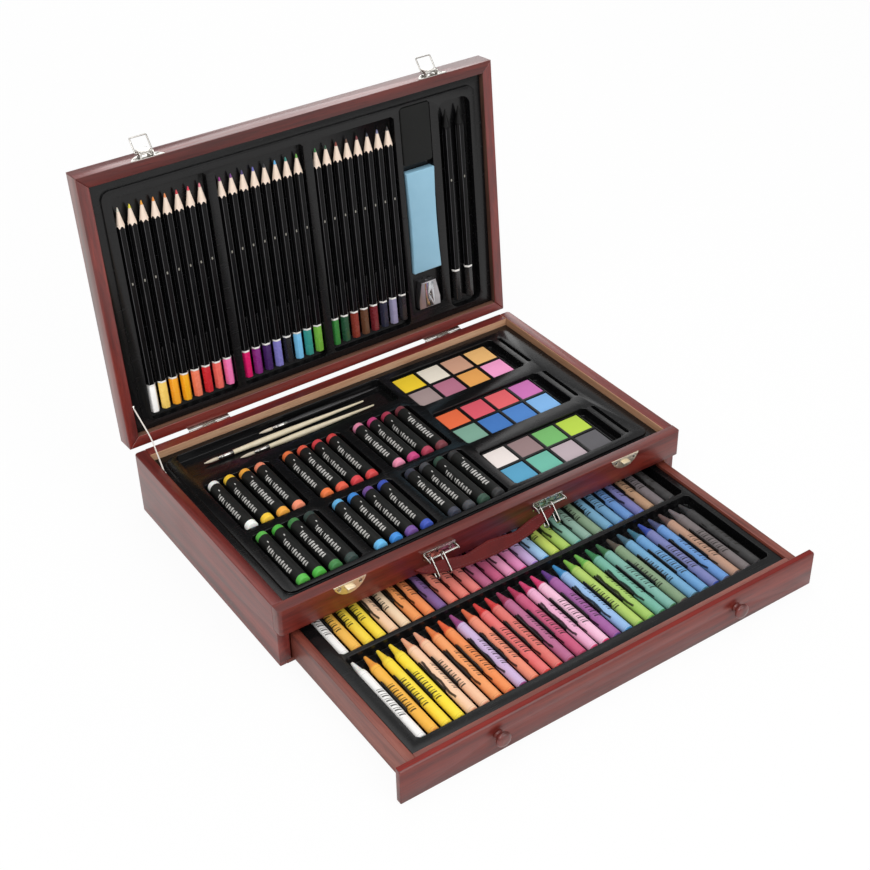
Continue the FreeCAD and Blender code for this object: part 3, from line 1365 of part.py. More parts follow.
doc.recompute()
button_middle = number("stay_pin_length") / 2
low_end = base_button.Placement.Base + Vector(button_middle, 0, 0)
lid_button_at = lid_button.Placement.Base + Vector(button_middle, 0, 0)
high_end = lid_point(lid_button_at.x, lid_button_at.y, lid_button_at.z)
bow = Vector(number("stay_bow"), 0, 0)
middle = (low_end + high_end) * 0.5 + bow
low_way = (middle - low_end).normalize()
high_way = (middle - high_end).normalize()

base_collar = collar("stay_collar_base", low_end, low_way)
keep("stay_pin_base", join("stay_pin_base_all", [base_button, base_collar]))
lid_turn = next(item for item in nodes if item.Label == "lid_left_rail").Placement.inverse()
lid_collar = collar("stay_collar_lid", lid_button_at, lid_turn.Rotation.multVec(high_way))
keep("stay_pin_lid", join("stay_pin_lid_all", [lid_button, lid_collar]), True)


def cord_shape():
    """The stay cord: two straight runs joined by a tangent arc, swept with a round section."""
    reach = number("stay_collar_length")
    start = low_end + low_way * reach
    end = high_end + high_way * reach
    run = min((middle - start).Length, (end - middle).Length)
    half_turn = low_way.getAngle(high_way * -1) / 2
    setback = number("stay_bend_share") * run
    radius = setback / math.tan(half_turn)
    first = middle - low_way * setback
    last = middle - high_way * setback
    inward = (first + last) * 0.5 - middle
    crown = middle + inward.normalize() * (radius / math.cos(half_turn) - radius)
    edges = [
        Part.makeLine(start, first),
        Part.Arc(first, crown, last).toShape(),
        Part.makeLine(last, end),
    ]
    path = Part.Wire(edges)
    radius_out = number("cord_diameter") / 2
    across = low_way.cross(Vector(0, 0, 1)).normalize()
    corners = []
    for index in range(WIRE_SIDES + 1):
        corners.append(start + Rotation(low_way, 360 * index / WIRE_SIDES).multVec(across) * radius_out)
    solid = path.makePipeShell([Part.makePolygon(corners)], True, True)
    print(f"stay cord: arc radius {radius:.1f} mm, length {path.Length:.1f} mm")
    expected = WIRE_SIDES / 2 * math.sin(2 * math.pi / WIRE_SIDES) * radius_out ** 2 * path.Length
    if abs(solid.Volume - expected) > VOLUME_TOLERANCE * expected:
        raise RuntimeError("the stay cord's volume is off")
    return solid


stay = doc.addObject("Part::Feature", "stay")
stay.Shape = cord_shape()
keep("stay_cord", stay)


# ---------------------------------------------------------------- export

doc.recompute()
for item in doc.Objects:
    if "Invalid" in item.State or "Error" in item.State:
        raise RuntimeError(f"{item.Name} is in state {item.State}")
os.makedirs("parts", exist_ok=True)
for node in nodes:
    if node.Shape.isNull() or not node.Shape.isValid():
        raise RuntimeError(f"{node.Label} has no valid shape")
    node.Shape.exportStep(f"parts/{node.Label}.step")
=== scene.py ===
import json
import math

import bmesh
import bpy
from mathutils import Matrix, Vector

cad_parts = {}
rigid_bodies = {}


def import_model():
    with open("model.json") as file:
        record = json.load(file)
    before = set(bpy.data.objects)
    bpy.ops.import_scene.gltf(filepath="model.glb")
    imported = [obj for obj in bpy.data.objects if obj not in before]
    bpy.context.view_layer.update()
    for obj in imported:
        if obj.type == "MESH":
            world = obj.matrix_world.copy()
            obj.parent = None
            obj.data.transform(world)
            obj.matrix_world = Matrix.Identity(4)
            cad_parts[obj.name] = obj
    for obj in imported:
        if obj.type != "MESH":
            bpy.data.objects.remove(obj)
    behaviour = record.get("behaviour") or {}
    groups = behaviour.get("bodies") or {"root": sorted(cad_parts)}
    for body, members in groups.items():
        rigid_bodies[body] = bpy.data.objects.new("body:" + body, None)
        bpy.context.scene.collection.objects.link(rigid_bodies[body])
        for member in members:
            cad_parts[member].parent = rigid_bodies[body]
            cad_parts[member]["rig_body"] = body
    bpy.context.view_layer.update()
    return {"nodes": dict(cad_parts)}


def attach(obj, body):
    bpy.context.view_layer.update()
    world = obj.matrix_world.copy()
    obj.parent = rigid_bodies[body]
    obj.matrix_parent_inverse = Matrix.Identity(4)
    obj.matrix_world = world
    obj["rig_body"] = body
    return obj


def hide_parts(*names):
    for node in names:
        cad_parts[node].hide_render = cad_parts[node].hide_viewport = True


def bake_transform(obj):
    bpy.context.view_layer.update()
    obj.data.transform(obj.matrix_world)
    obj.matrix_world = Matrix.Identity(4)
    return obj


# A wooden art box with its lid open and its crayon drawer pulled out. Metres, +Z up,
# in the CAD frame. Sizes written in millimetres are multiplied by MM.

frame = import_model()
nodes = frame["nodes"]
MM = 0.001


def place_of(x, y, z):
    """A place given in millimetres."""
    return Vector((x, y, z)) * MM


def turned(place, degrees):
    """A turn about X, then a move to a place."""
    return Matrix.Translation(place) @ Matrix.Rotation(math.radians(degrees), 4, "X")


HINGE = place_of(0.0, 121.15, 53.2)
LID_OPEN = turned(HINGE, -95.2) @ Matrix.Translation(-HINGE)
LID_CLOSED = LID_OPEN.inverted()
HANDLE_HANG = turned(place_of(0.0, -123.4, 47.5), 225.0)
STILL = Matrix.Identity(4)


# ---------------- colours

WHITE = (1.0, 1.0, 1.0, 1.0)


def tone(code, strength=1.0):
    """A linear colour from a six-digit sRGB code."""
    parts = [int(code[i:i + 2], 16) / 255 for i in (0, 2, 4)]
    linear = [c / 12.92 if c <= 0.04045 else ((c + 0.055) / 1.055) ** 2.4 for c in parts]
    return (*[c * strength for c in linear], 1.0)


def tones(codes, strength=1.0):
    """A list of colours from a string of codes."""
    return [tone(code, strength) for code in codes.split()]


# ---------------- shader helpers

def plug(value, socket):
    """Link a field or an output to a socket, or set a plain value on it."""
    value = getattr(value, "socket", value)
    if isinstance(value, bpy.types.NodeSocket):
        socket.id_data.links.new(value, socket)
    else:
        socket.default_value = value


def node(tree, kind, values=None, **settings):
    """A node with its settings, and its sockets set or linked by name or number."""
    made = tree.nodes.new(kind)
    for key, value in settings.items():
        setattr(made, key, value)
    for key, value in (values or {}).items():
        plug(value, made.inputs[key])
    return made


class Field:
    """A value inside a shader; plain arithmetic on it adds the nodes."""

    def __init__(self, socket):
        self.socket = socket

    def step(self, operation, *values):
        """One Math node."""
        tree = self.socket.id_data
        made = node(tree, "ShaderNodeMath", dict(enumerate(values)), operation=operation)
        return Field(made.outputs[0])

    def __add__(self, other):
        return self.step("ADD", self, other)

    def __sub__(self, other):
        return self.step("SUBTRACT", self, other)

    def __rsub__(self, other):
        return self.step("SUBTRACT", other, self)

    def __mul__(self, other):
        return self.step("MULTIPLY", self, other)

    def most(self, other):
        """The larger of two."""
        return self.step("MAXIMUM", self, other)

    def fract(self):
        """What is left over the whole number."""
        return self.step("FRACT", self)

    def sine(self):
        """The sine."""
        return self.step("SINE", self)

    def ranged(self, values):
        """A Map Range node; 1 and 2 are the range put in, 3 and 4 the one that comes out."""
        made = node(self.socket.id_data, "ShaderNodeMapRange", {0: self, **values})
        return Field(made.outputs[0])

    def spread(self, low, high):
        """A mask from nought to one stretched from low to high."""
        return self.ranged({3: low, 4: high})

    def cut(self, low, high):
        """Nought at low and one at high."""
        return self.ranged({1: low, 2: high})

    def band(self, low, high, soft=0.004):
        """One between low and high and nought outside, with soft ends."""
        return self.cut(low - soft, low + soft) * (1.0 - self.cut(high - soft, high + soft))


def mixed(tree, factor, first, second):
    """Two colours mixed."""
    made = node(tree, "ShaderNodeMix", {0: factor, 6: first, 7: second}, data_type="RGBA")
    return Field(made.outputs[2])


def noise(tree, at, stretch=None, scale=1.0, detail=2.0, turn=(0.0, 0.0, 0.0), **more):
    """Noise, at places that may be turned and stretched first."""
    if stretch:
        at = node(tree, "ShaderNodeMapping", {0: at, 2: turn, 3: stretch}).outputs[0]
    values = {"Vector": at, "Scale": scale, "Detail": detail, **more}
    return Field(node(tree, "ShaderNodeTexNoise", values).outputs[0])


def group_shell(name, ins, outs, kind="ShaderNodeTree"):
    """An empty node group with named sockets; returns the group and its two end nodes."""
    tree = bpy.data.node_groups.new(name, kind)
    for way, sockets in (("INPUT", ins), ("OUTPUT", outs)):
        for label, form in sockets:
            tree.interface.new_socket(label, in_out=way, socket_type="NodeSocket" + form)
    return tree, tree.nodes.new("NodeGroupInput"), tree.nodes.new("NodeGroupOutput")


def grain_group():
    """Long streaks, growth figure and open pores of a sawn board, along local X."""
    outs = [("Streaks", "Float"), ("Figure", "Float"), ("Pores", "Float")]
    tree, start, end = group_shell("board_grain", [("Vector", "Vector")], outs)
    at = start.outputs[0]
    streaks = noise(tree, at, (5.0, 120.0, 120.0), detail=6.0, Roughness=0.62, Distortion=0.35)
    figure = noise(tree, at, (1.6, 14.0, 14.0), detail=3.0, Distortion=1.4)
    pores = noise(tree, at, (60.0, 900.0, 900.0)).cut(0.56, 0.66)
    for index, value in enumerate((streaks, figure, pores)):
        plug(value, end.inputs[index])
    return tree


def wear_group():
    """Soft smudges, fine scratches and dust specks for any handled surface."""
    outs = [("Smudges", "Float"), ("Scratches", "Float"), ("Specks", "Float")]
    tree, start, end = group_shell("handled_wear", [("Vector", "Vector"), ("Scale", "Float")], outs)
    at, scale = start.outputs[0], start.outputs[1]
    smudges = noise(tree, at, scale=scale, detail=4.0, Roughness=0.55)
    scratches = noise(tree, at, (40.0, 900.0, 300.0), turn=(0.3, 0.2, 0.6)).cut(0.62, 0.72)
    cells = node(tree, "ShaderNodeTexVoronoi", {"Vector": at, "Scale": 420.0})
    specks = Field(cells.outputs[0]).cut(0.10, 0.03)
    for index, value in enumerate((smudges, scratches, specks)):
        plug(value, end.inputs[index])
    return tree


GRAIN = grain_group()
WEAR = wear_group()


class Finish:
    """One material: its tree, its Principled shader and the wear masks that it shares."""

    def __init__(self, name, scale=60.0, turn=(0.0, 0.0, 0.0), **fixed):
        self.material = bpy.data.materials.new(name)
        self.material.use_nodes = True
        self.tree = self.material.node_tree
        self.shader = self.tree.nodes["Principled BSDF"]
        place = self.add("ShaderNodeTexCoord")
        self.uv = place.outputs["UV"]
        self.at = self.add("ShaderNodeMapping", {0: place.outputs["Object"], 2: turn}).outputs[0]
        wear = self.add("ShaderNodeGroup", {0: self.at, 1: scale}, node_tree=WEAR)
        self.smudges, self.scratches, self.specks = map(Field, wear.outputs)
        self.height = None
        self.set(**fixed)

    def add(self, kind, values=None, **settings):
        """One more node in this material."""
        return node(self.tree, kind, values, **settings)

    def set(self, **values):
        """Link or set sockets of the shader."""
        for label, value in values.items():
            plug(value, self.shader.inputs[label.replace("_", " ")])
        return self

    def rough(self, low, high):
        """Roughness that follows the smudges."""
        return self.set(Roughness=self.smudges.spread(low, high))

    def mix(self, factor, first, second):
        """Two colours mixed."""
        return mixed(self.tree, factor, first, second)

    def shades(self, first, second, share=1.0):
        """Two colours mixed where the smudges lie."""
        return self.mix(self.smudges.spread(0.0, share), first, second)

    def tint(self):
        """The colour that each copy carries."""
        return self.add("ShaderNodeAttribute", attribute_name="tint").outputs["Color"]

    def axes(self):
        """The piece's own UV as two numbers: round it, and along it."""
        parts = self.add("ShaderNodeSeparateXYZ", {0: self.uv})
        return Field(parts.outputs[0]), Field(parts.outputs[1])

    def bump(self, height, depth, strength=0.5):
        """Add one more layer of relief, its depth in metres."""
        values = {"Height": height, "Distance": depth, "Strength": strength}
        if self.height is not None:
            values["Normal"] = self.height
        self.height = self.add("ShaderNodeBump", values).outputs[0]
        return self.set(Normal=self.height)


ALONG = {"x": (0.0, 0.0, 0.0), "y": (0.0, 0.0, math.radians(90)), "z": (0.0, math.radians(90), 0.0)}


def wood(name, along, codes, rough=0.38, coat=0.7, shift=0.0, shine=0.45):
    """A stained and lacquered board with its grain along one axis."""
    finish = Finish(name, 22.0, ALONG[along], Coat_Weight=coat, Coat_Roughness=0.30,
                    Specular_IOR_Level=shine)
    dark, middle, light = tones(codes)
    shifts = {0: finish.at, 1: (shift, shift * 1.7, shift * 0.6)}
    board = finish.add("ShaderNodeVectorMath", shifts, operation="ADD").outputs[0]
    grain = finish.add("ShaderNodeGroup", {0: board}, node_tree=GRAIN)
    streaks, figure, pores = map(Field, grain.outputs)
    ramp = finish.add("ShaderNodeValToRGB", {0: streaks})
    stops = ramp.color_ramp.elements
    stops[0].position, stops[0].color = 0.30, dark
    stops[1].position, stops[1].color = 0.70, light
    stops.new(0.5).color = middle
    figured = finish.mix(figure.spread(0.0, 0.55), ramp.outputs[0], dark)
    pored = finish.mix(pores * 0.45, figured, dark)
    finish.set(Base_Color=finish.mix(finish.specks * 0.05, pored, tone("B9A9A0")))
    finish.rough(rough - 0.09, rough + 0.12)
    return finish.bump(streaks, 0.00012, 0.35).bump(pores, -0.00006, 0.5).material


def handled(finish, shade, dust, speck, rough, scratched):
    """Colour and roughness of a smooth handled surface: dust specks and finer scratches."""
    worn = finish.smudges.spread(rough - 0.08, rough + 0.14) + finish.scratches * scratched
    dusty = finish.mix(finish.specks * dust, shade, tone(speck))
    return finish.set(Base_Color=dusty, Roughness=worn)


def metal(name, codes, rough):
    """Plated metal with fine scratches and finger marks."""
    finish = Finish(name, 90.0, Metallic=1.0)
    handled(finish, finish.shades(*tones(codes)), 0.25, "4B4640", rough, 0.15)
    return finish.bump(finish.scratches, -0.00002, 0.4).bump(finish.smudges, 0.00003, 0.25).material


def plastic(name, codes, rough, scale=35.0, shine=0.34):
    """Thin formed plastic: soft waves, dust and rubbed places."""
    finish = Finish(name, scale, Specular_IOR_Level=shine)
    handled(finish, finish.shades(*tones(codes), 0.6), 0.22, "8C8A88", rough, 0.12)
    return finish.bump(finish.smudges, 0.0001, 0.5).bump(finish.scratches, -0.00002, 0.35).material


def wax(name, rough=0.42):
    """Coloured wax or oil pastel: waxy, with scuffs and a faint bloom."""
    finish = Finish(name, 260.0, Specular_IOR_Level=0.32, Subsurface_Weight=0.12,
                    Subsurface_Scale=0.002)
    colour = finish.tint()
    finish.set(Base_Color=finish.shades(colour, finish.mix(0.14, colour, WHITE), 0.5))
    finish.rough(rough - 0.1, rough + 0.15)
    return finish.bump(finish.smudges, 0.00012, 0.6).bump(finish.scratches, -0.00005, 0.5).material


def crayon_paper():
    """Matt coloured paper with printed bars, end bands and a wavy dark edge."""
    finish = Finish("crayon_paper", 180.0, Specular_IOR_Level=0.22)
    around, along = finish.axes()
    around = (around + 0.55).fract()
    colour = finish.tint()
    sheet = finish.shades(colour, finish.mix(0.06, colour, WHITE))
    step = (along * 185.0 + around * 1.6).fract()
    bars = step.band(0.10, 0.34, 0.05).most(step.band(0.56, 0.68, 0.05))
    bars = bars * along.band(0.0215, 0.0545, 0.0003) * around.band(0.41, 0.60)
    wave = (along * 300.0).sine() * 0.018
    edge = (around + wave + finish.smudges * 0.07).band(0.25, 0.325, 0.008)
    edge = edge * along.band(0.017, 0.060, 0.0006)
    ends = along.band(0.0020, 0.0024, 0.0001) + along.band(0.0722, 0.0726, 0.0001)
    ink = bars.most(edge).most(ends * 0.25) * finish.smudges.spread(0.86, 0.98)
    finish.set(Base_Color=finish.mix(ink, sheet, tone("17140F"))).rough(0.48, 0.66)
    seam = around.band(0.0, 0.02, 0.002)
    return finish.bump(finish.smudges, 0.00008, 0.6).bump(seam, 0.00006, 0.6).material


def pastel_paper():
    """Black paper with leaning pale dashes, a small mark and a thin line."""
    finish = Finish("pastel_paper", 200.0, Specular_IOR_Level=0.25)
    around, along = finish.axes()
    around = (around + 0.35).fract()
    dash = (along * 330.0 + around * 3.0).fract().band(0.12, 0.66, 0.06)
    dash = dash * along.band(0.0135, 0.0475, 0.0002)
    gap = 1.0 - along.band(0.0355, 0.0385, 0.0001)
    line = (around + (along * 1150.0).sine() * 0.014).band(0.165, 0.285, 0.006)
    small = around.band(0.32, 0.345) * along.band(0.0505, 0.0525, 0.0002)
    under = around.band(0.70, 0.715) * along.band(0.016, 0.048, 0.0003)
    mark = (dash * gap * line).most(small.most(under)) * finish.smudges.spread(0.5, 0.8)
    sheet = finish.shades(tone("131413"), tone("1E1F1D"), 0.8)
    finish.set(Base_Color=finish.mix(mark, sheet, tone("EFEDE8"))).rough(0.40, 0.58)
    seam = around.band(0.0, 0.02, 0.002)
    return finish.bump(finish.smudges, 0.00008, 0.5).bump(seam, 0.00006, 0.6).material


def pencil_lacquer():
    """Black lacquer on the barrel, a painted highlight on its corners and a pale foil mark."""
    finish = Finish("pencil_lacquer", 120.0, Specular_IOR_Level=0.14)
    around, along = finish.axes()
    mark = around.band(0.390, 0.443) * along.band(0.0625, 0.0646, 0.0002)
    # The lighter grey along the six corners is a painted highlight.
    edge = (around * 6.0 + 0.5).fract().band(0.46, 0.54, 0.03) * finish.smudges.spread(0.2, 0.8)
    shade = finish.mix(edge, finish.shades(tone("070708"), tone("0F0F10"), 0.7), tone("77777A"))
    finish.set(Base_Color=finish.mix(mark, shade, tone("8C8980"))).rough(0.14, 0.28)
    return finish.bump(finish.smudges, 0.00006, 0.3).bump(finish.scratches, -0.00002, 0.3).material


def cap_paint():
    """Glossy coloured paint that takes each copy's colour."""
    finish = Finish("cap_lacquer", 150.0, Coat_Weight=0.25)
    finish.set(Base_Color=finish.shades(finish.tint(), WHITE, 0.012)).rough(0.17, 0.37)
    return finish.bump(finish.smudges, 0.00006, 0.3).material


def plain(name, codes, rough, depth=0.0001, scale=120.0, **fixed):
    """A matt or satin surface with two close shades and fine relief."""
    finish = Finish(name, scale, **fixed)
    shade = finish.shades(*tones(codes))
    finish.set(Base_Color=finish.mix(finish.specks * 0.12, shade, tone("6E6A66")))
    finish.rough(rough - 0.1, rough + 0.1)
    return finish.bump(finish.smudges, depth, 0.6).bump(finish.scratches, -0.00003, 0.4).material


def cut_wood():
    """Bare sharpened wood with fibres along the cone."""
    finish = Finish("bare_wood", 300.0)
    fibres = noise(finish.tree, finish.uv, (40.0, 90.0, 1.0), detail=4.0)
    finish.set(Base_Color=finish.mix(fibres, tone("F7E8DA"), tone("E2C6AE"))).rough(0.6, 0.8)
    return finish.bump(fibres, 0.00008, 0.5).material


def paint_cake():
    """Pressed watercolour: chalky and grained."""
    finish = Finish("paint_cake", 500.0, Specular_IOR_Level=0.2)
    colour = finish.tint()
    fine = noise(finish.tree, finish.at, scale=2600.0, detail=3.0)
    finish.set(Base_Color=finish.mix(fine, colour, finish.mix(0.06, colour, WHITE)))
    finish.rough(0.66, 0.86)
    return finish.bump(fine, 0.00010, 0.6).bump(finish.smudges, 0.00012, 0.4).material


def leather():
    """Red-brown leather-look strap with fine creases, painted darker in them as shade."""
    finish = Finish("strap_leather", 80.0, Specular_IOR_Level=0.16)
    cells = finish.add("ShaderNodeTexVoronoi", {"Vector": finish.at, "Scale": 900.0},
                       feature="DISTANCE_TO_EDGE")
    creases = Field(cells.outputs[0]).cut(0.0, 0.12)
    shade = finish.shades(tone("4A090A"), tone("691816"))
    # The dark tone along the creases is painted shade.
    finish.set(Base_Color=finish.mix((1.0 - creases) * 0.5, shade, tone("34100F")))
    finish.rough(0.32, 0.48)
    return finish.bump(creases, 0.00012, 0.5).bump(finish.smudges, 0.0002, 0.3).material


def braid():
    """Woven white cord, greyer where the weave sinks: painted shade."""
    finish = Finish("woven_cord", 400.0)
    around, along = finish.axes()
    twist, lay = around * 25.1, along * 3800.0
    weave = ((twist + lay).sine() * (twist - lay).sine() + 1.0) * 0.5
    # The grey where the weave sinks is painted shade.
    finish.set(Base_Color=finish.mix(weave, tone("CFC6BC"), tone("F4EEE8"))).rough(0.7, 0.9)
    return finish.bump(weave, 0.0001, 0.7).material


def hair():
    """Fine brush hair with strands along the piece."""
    finish = Finish("brush_hair", 200.0)
    strands = noise(finish.tree, finish.at, (60.0, 3200.0, 3200.0), detail=3.0)
    finish.set(Base_Color=finish.mix(strands, tone("E9E0CF"), tone("A9987C"))).rough(0.5, 0.75)
    return finish.bump(strands, 0.00015, 0.8).material


# ---------------- mesh helpers

def body_of(name):
    """The body that a CAD node belongs to."""
    return nodes[name]["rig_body"]


def placed(name, data):
    """A new object in the scene."""
    item = bpy.data.objects.new(name, data)
    bpy.context.scene.collection.objects.link(item)
    return item


def piece(name, mesh, finish, body, slot, *replaced):
    """A visible piece on a body, standing for some CAD nodes."""
    item = placed(name, mesh)
    mesh.materials.clear()
    mesh.materials.append(finish)
    for polygon in mesh.polygons:
        polygon.use_smooth = True
    if body:
        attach(item, body)
    if replaced:
        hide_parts(*replaced)
    return item


def bevel(item, width, segments=2, angle=32.0):
    """Ease a piece's sharp edges, its width in millimetres."""
    modifier = item.modifiers.new("eased", "BEVEL")
    modifier.width = width * MM
    modifier.segments = segments
    modifier.limit_method = "ANGLE"
    modifier.angle_limit = math.radians(angle)
    modifier.harden_normals = True
    modifier.use_clamp_overlap = True


def cleaned(name, turn=STILL):
    """A CAD node's mesh as a bmesh with its points merged and its flat faces joined."""
    shape = bmesh.new()
    shape.from_mesh(nodes[name].data)
    shape.transform(turn @ nodes[name].matrix_world)
    bmesh.ops.remove_doubles(shape, verts=shape.verts, dist=2e-6)
    bmesh.ops.dissolve_limit(shape, angle_limit=math.radians(0.8), verts=shape.verts,
                             edges=shape.edges)
    bmesh.ops.recalc_face_normals(shape, faces=shape.faces)
    return shape


def to_mesh(shape, name):
    """A bmesh made into mesh data."""
    mesh = bpy.data.meshes.new(name)
    shape.to_mesh(mesh)
    shape.free()
    return mesh


def eased(name, finish, slot, width, segments=2, *inner):
    """A CAD board or formed part with eased edges; faces that look one way may differ."""
    mesh = to_mesh(cleaned(name), name)
    bevel(piece(name + "_piece", mesh, finish, body_of(name), slot, name), width, segments)
    for index, (other, direction) in enumerate(inner, 1):
        mesh.materials.append(other)
        for polygon in mesh.polygons:
            if polygon.normal.dot(direction) > 0.9:
                polygon.material_index = index


def islands(name, turn=STILL):
    """The separate solids of a CAD node as low and high corners, from left to right."""
    shape = cleaned(name, turn)
    found = []
    left = set(shape.verts)
    while left:
        queue = [left.pop()]
        members = []
        while queue:
            corner = queue.pop()
            members.append(corner.co.copy())
            for edge in corner.link_edges:
                other = edge.other_vert(corner)
                if other in left:
                    left.discard(other)
                    queue.append(other)
        found.append([Vector([pick(point[i] for point in members) for i in range(3)])
                      for pick in (min, max)])
    shape.free()
    return sorted(found, key=lambda pair: [round(value, 4) for value in pair[0]])


def spots_of(name, turn=STILL, front=True):
    """The middle of each solid's front or back end, from left to right."""
    return [Vector(((low.x + high.x) / 2, low.y if front else high.y, (low.z + high.z) / 2))
            for low, high in islands(name, turn)]


def skin(name, rings, along=1, capped=False):
    """A skin through rings of places, where a ring of one place closes an end.

    Its UV runs once round, and along one axis in metres.
    """
    shape = bmesh.new()
    uv = shape.loops.layers.uv.new("UVMap")
    rings = [[shape.verts.new(place) for place in ring] for ring in rings]
    count = max(len(ring) for ring in rings)
    for near, far in zip(rings, rings[1:]):
        for step in range(count):
            corners = [(ring[(step + after) % len(ring)], (step + after) / count)
                       for ring, after in ((near, 0), (far, 0), (far, 1), (near, 1))
                       if len(ring) > 1 or not after]
            face = shape.faces.new([corner for corner, around in corners])
            for loop, (corner, around) in zip(face.loops, corners):
                loop[uv].uv = (around, corner.co[along])
    if capped:
        shape.faces.new(rings[-1])
    bmesh.ops.recalc_face_normals(shape, faces=shape.faces)
    return to_mesh(shape, name)


def ring_place(radius, angle, distance, along_x=False):
    """A place round an axis, in millimetres; nought degrees looks up."""
    side, up = radius * math.sin(angle), radius * math.cos(angle)
    return place_of(distance, side, up) if along_x else place_of(side, distance, up)


def lathe(name, profile, steps=32, along_x=False):
    """A turned shape about Y or X; the profile is (radius, distance) in millimetres."""
    rings = []
    for radius, distance in profile:
        count = steps if radius else 1
        angles = [2 * math.pi * step / count for step in range(count)]
        rings.append([ring_place(radius, angle, distance, along_x) for angle in angles])
    return skin(name, rings, 0 if along_x else 1)


def route(points, bend, steps=6):
    """A line through corner points with each inner corner rounded."""
    line = [points[0]]
    for before, corner, after in zip(points, points[1:], points[2:]):
        first = (before - corner).normalized() * bend
        last = (after - corner).normalized() * bend
        for step in range(steps + 1):
            t = step / steps
            line.append(corner + first * (1 - t) ** 2 + last * t ** 2)
    line.append(points[-1])
    return line


def tube(name, line, radius, sides=14, closed=False):
    """A round wire along a line, in metres, with UV round it and along it."""
    shape = bmesh.new()
    uv = shape.loops.layers.uv.new("UVMap")
    count = len(line)
    rings, lengths = [], [0.0]
    for before, after in zip(line, line[1:]):
        lengths.append(lengths[-1] + (after - before).length)
    side = None
    for index, point in enumerate(line):
        ahead = line[(index + 1) % count] if closed or index + 1 < count else point
        behind = line[index - 1] if closed or index > 0 else point
        way = (ahead - behind).normalized()
        side = side or way.orthogonal().normalized()
        side = (side - way * side.dot(way)).normalized()
        other = way.cross(side)
        angles = [2 * math.pi * step / sides for step in range(sides)]
        rings.append([shape.verts.new(point + (side * math.cos(a) + other * math.sin(a)) * radius)
                      for a in angles])
    for first in range(count if closed else count - 1):
        last = (first + 1) % count
        near, far = lengths[first], lengths[last or first]
        for step in range(sides):
            after = (step + 1) % sides
            face = shape.faces.new([rings[first][step], rings[first][after],
                                    rings[last][after], rings[last][step]])
            places = ((step, near), (step + 1, near), (step + 1, far), (step, far))
            for loop, (around, along) in zip(face.loops, places):
                loop[uv].uv = (around / sides, along)
    if not closed:
        shape.faces.new(rings[0][::-1])
        shape.faces.new(rings[-1])
    bmesh.ops.recalc_face_normals(shape, faces=shape.faces)
    return to_mesh(shape, name)


def joined(name, meshes):
    """Several meshes as one."""
    shape = bmesh.new()
    for mesh in meshes:
        shape.from_mesh(mesh)
    return to_mesh(shape, name)


def moved(mesh, matrix):
    """A mesh after a move."""
    mesh.transform(matrix)
    return mesh


def rounded_box(name, low, high, radius, segments=3):
    """A block with soft edges, in metres."""
    shape = bmesh.new()
    bmesh.ops.create_cube(shape, size=1.0)
    for corner in shape.verts:
        for i in range(3):
            corner.co[i] = (low[i] + high[i]) / 2 + corner.co[i] * (high[i] - low[i])
    bmesh.ops.bevel(shape, geom=shape.edges, offset=radius, segments=segments, affect="EDGES",
                    profile=0.5)
    return to_mesh(shape, name)


def evaluated(item, **more):
    """The mesh of an object with its modifiers applied."""
    bpy.context.view_layer.update()
    graph = bpy.context.evaluated_depsgraph_get()
    return bpy.data.meshes.new_from_object(item.evaluated_get(graph), depsgraph=graph, **more)


# ---------------- repeats

def repeater():
    """Copies of one piece on points, each turned a little, with its number kept."""
    ins = [("Geometry", "Geometry"), ("Piece", "Object"), ("Finish", "Material"),
           ("Turn Low", "Vector"), ("Turn High", "Vector"), ("Seed", "Int")]
    tree, start, end = group_shell("row_of_pieces", ins, [("Geometry", "Geometry")],
                                   "GeometryNodeTree")
    given = start.outputs
    source = node(tree, "GeometryNodeObjectInfo", {"Object": given["Piece"]})
    turns = {"Min": given["Turn Low"], "Max": given["Turn High"], "Seed": given["Seed"]}
    turn = node(tree, "FunctionNodeRandomValue", turns, data_type="FLOAT_VECTOR")
    euler = node(tree, "FunctionNodeEulerToRotation", {0: turn.outputs["Value"]})
    copies = node(tree, "GeometryNodeInstanceOnPoints", {
        "Points": given["Geometry"], "Instance": source.outputs["Geometry"],
        "Rotation": euler.outputs[0]})
    number = node(tree, "GeometryNodeInputIndex")
    kept = {"Geometry": copies.outputs[0], "Name": "place", "Value": number.outputs[0]}
    store = node(tree, "GeometryNodeStoreNamedAttribute", kept, data_type="INT", domain="INSTANCE")
    real = node(tree, "GeometryNodeRealizeInstances", {0: store.outputs[0]})
    painted = {"Geometry": real.outputs[0], "Material": given["Finish"]}
    plug(node(tree, "GeometryNodeSetMaterial", painted).outputs[0], end.inputs[0])
    return tree


REPEAT = repeater()


def row(name, mesh, spots, finish, body, slot, replaced, turn, seed, colours=None, then=STILL):
    """Copies of a mesh at each spot as one piece; each copy may carry its own colour."""
    source = placed(name + "_source", mesh)
    base = bpy.data.meshes.new(name + "_points")
    base.from_pydata([tuple(spot) for spot in spots], [], [])
    holder = placed(name + "_holder", base)
    modifier = holder.modifiers.new("row", "NODES")
    modifier.node_group = REPEAT
    given = {"Piece": source, "Finish": finish, "Turn Low": [-t for t in turn],
             "Turn High": list(turn), "Seed": seed}
    for socket in REPEAT.interface.items_tree:
        if socket.in_out == "INPUT" and socket.name in given:
            modifier[socket.identifier] = given[socket.name]
    made = evaluated(holder, preserve_all_data_layers=True)
    made.name = name
    bpy.data.objects.remove(holder)
    bpy.data.objects.remove(source)
    if colours:
        places = made.attributes["place"].data
        flat = [part for entry in places for part in colours[entry.value % len(colours)]]
        made.color_attributes.new("tint", "FLOAT_COLOR", "POINT").data.foreach_set("color", flat)
    return piece(name + "_piece", moved(made, then), finish, body, slot, *replaced)


# ---------------- finishes

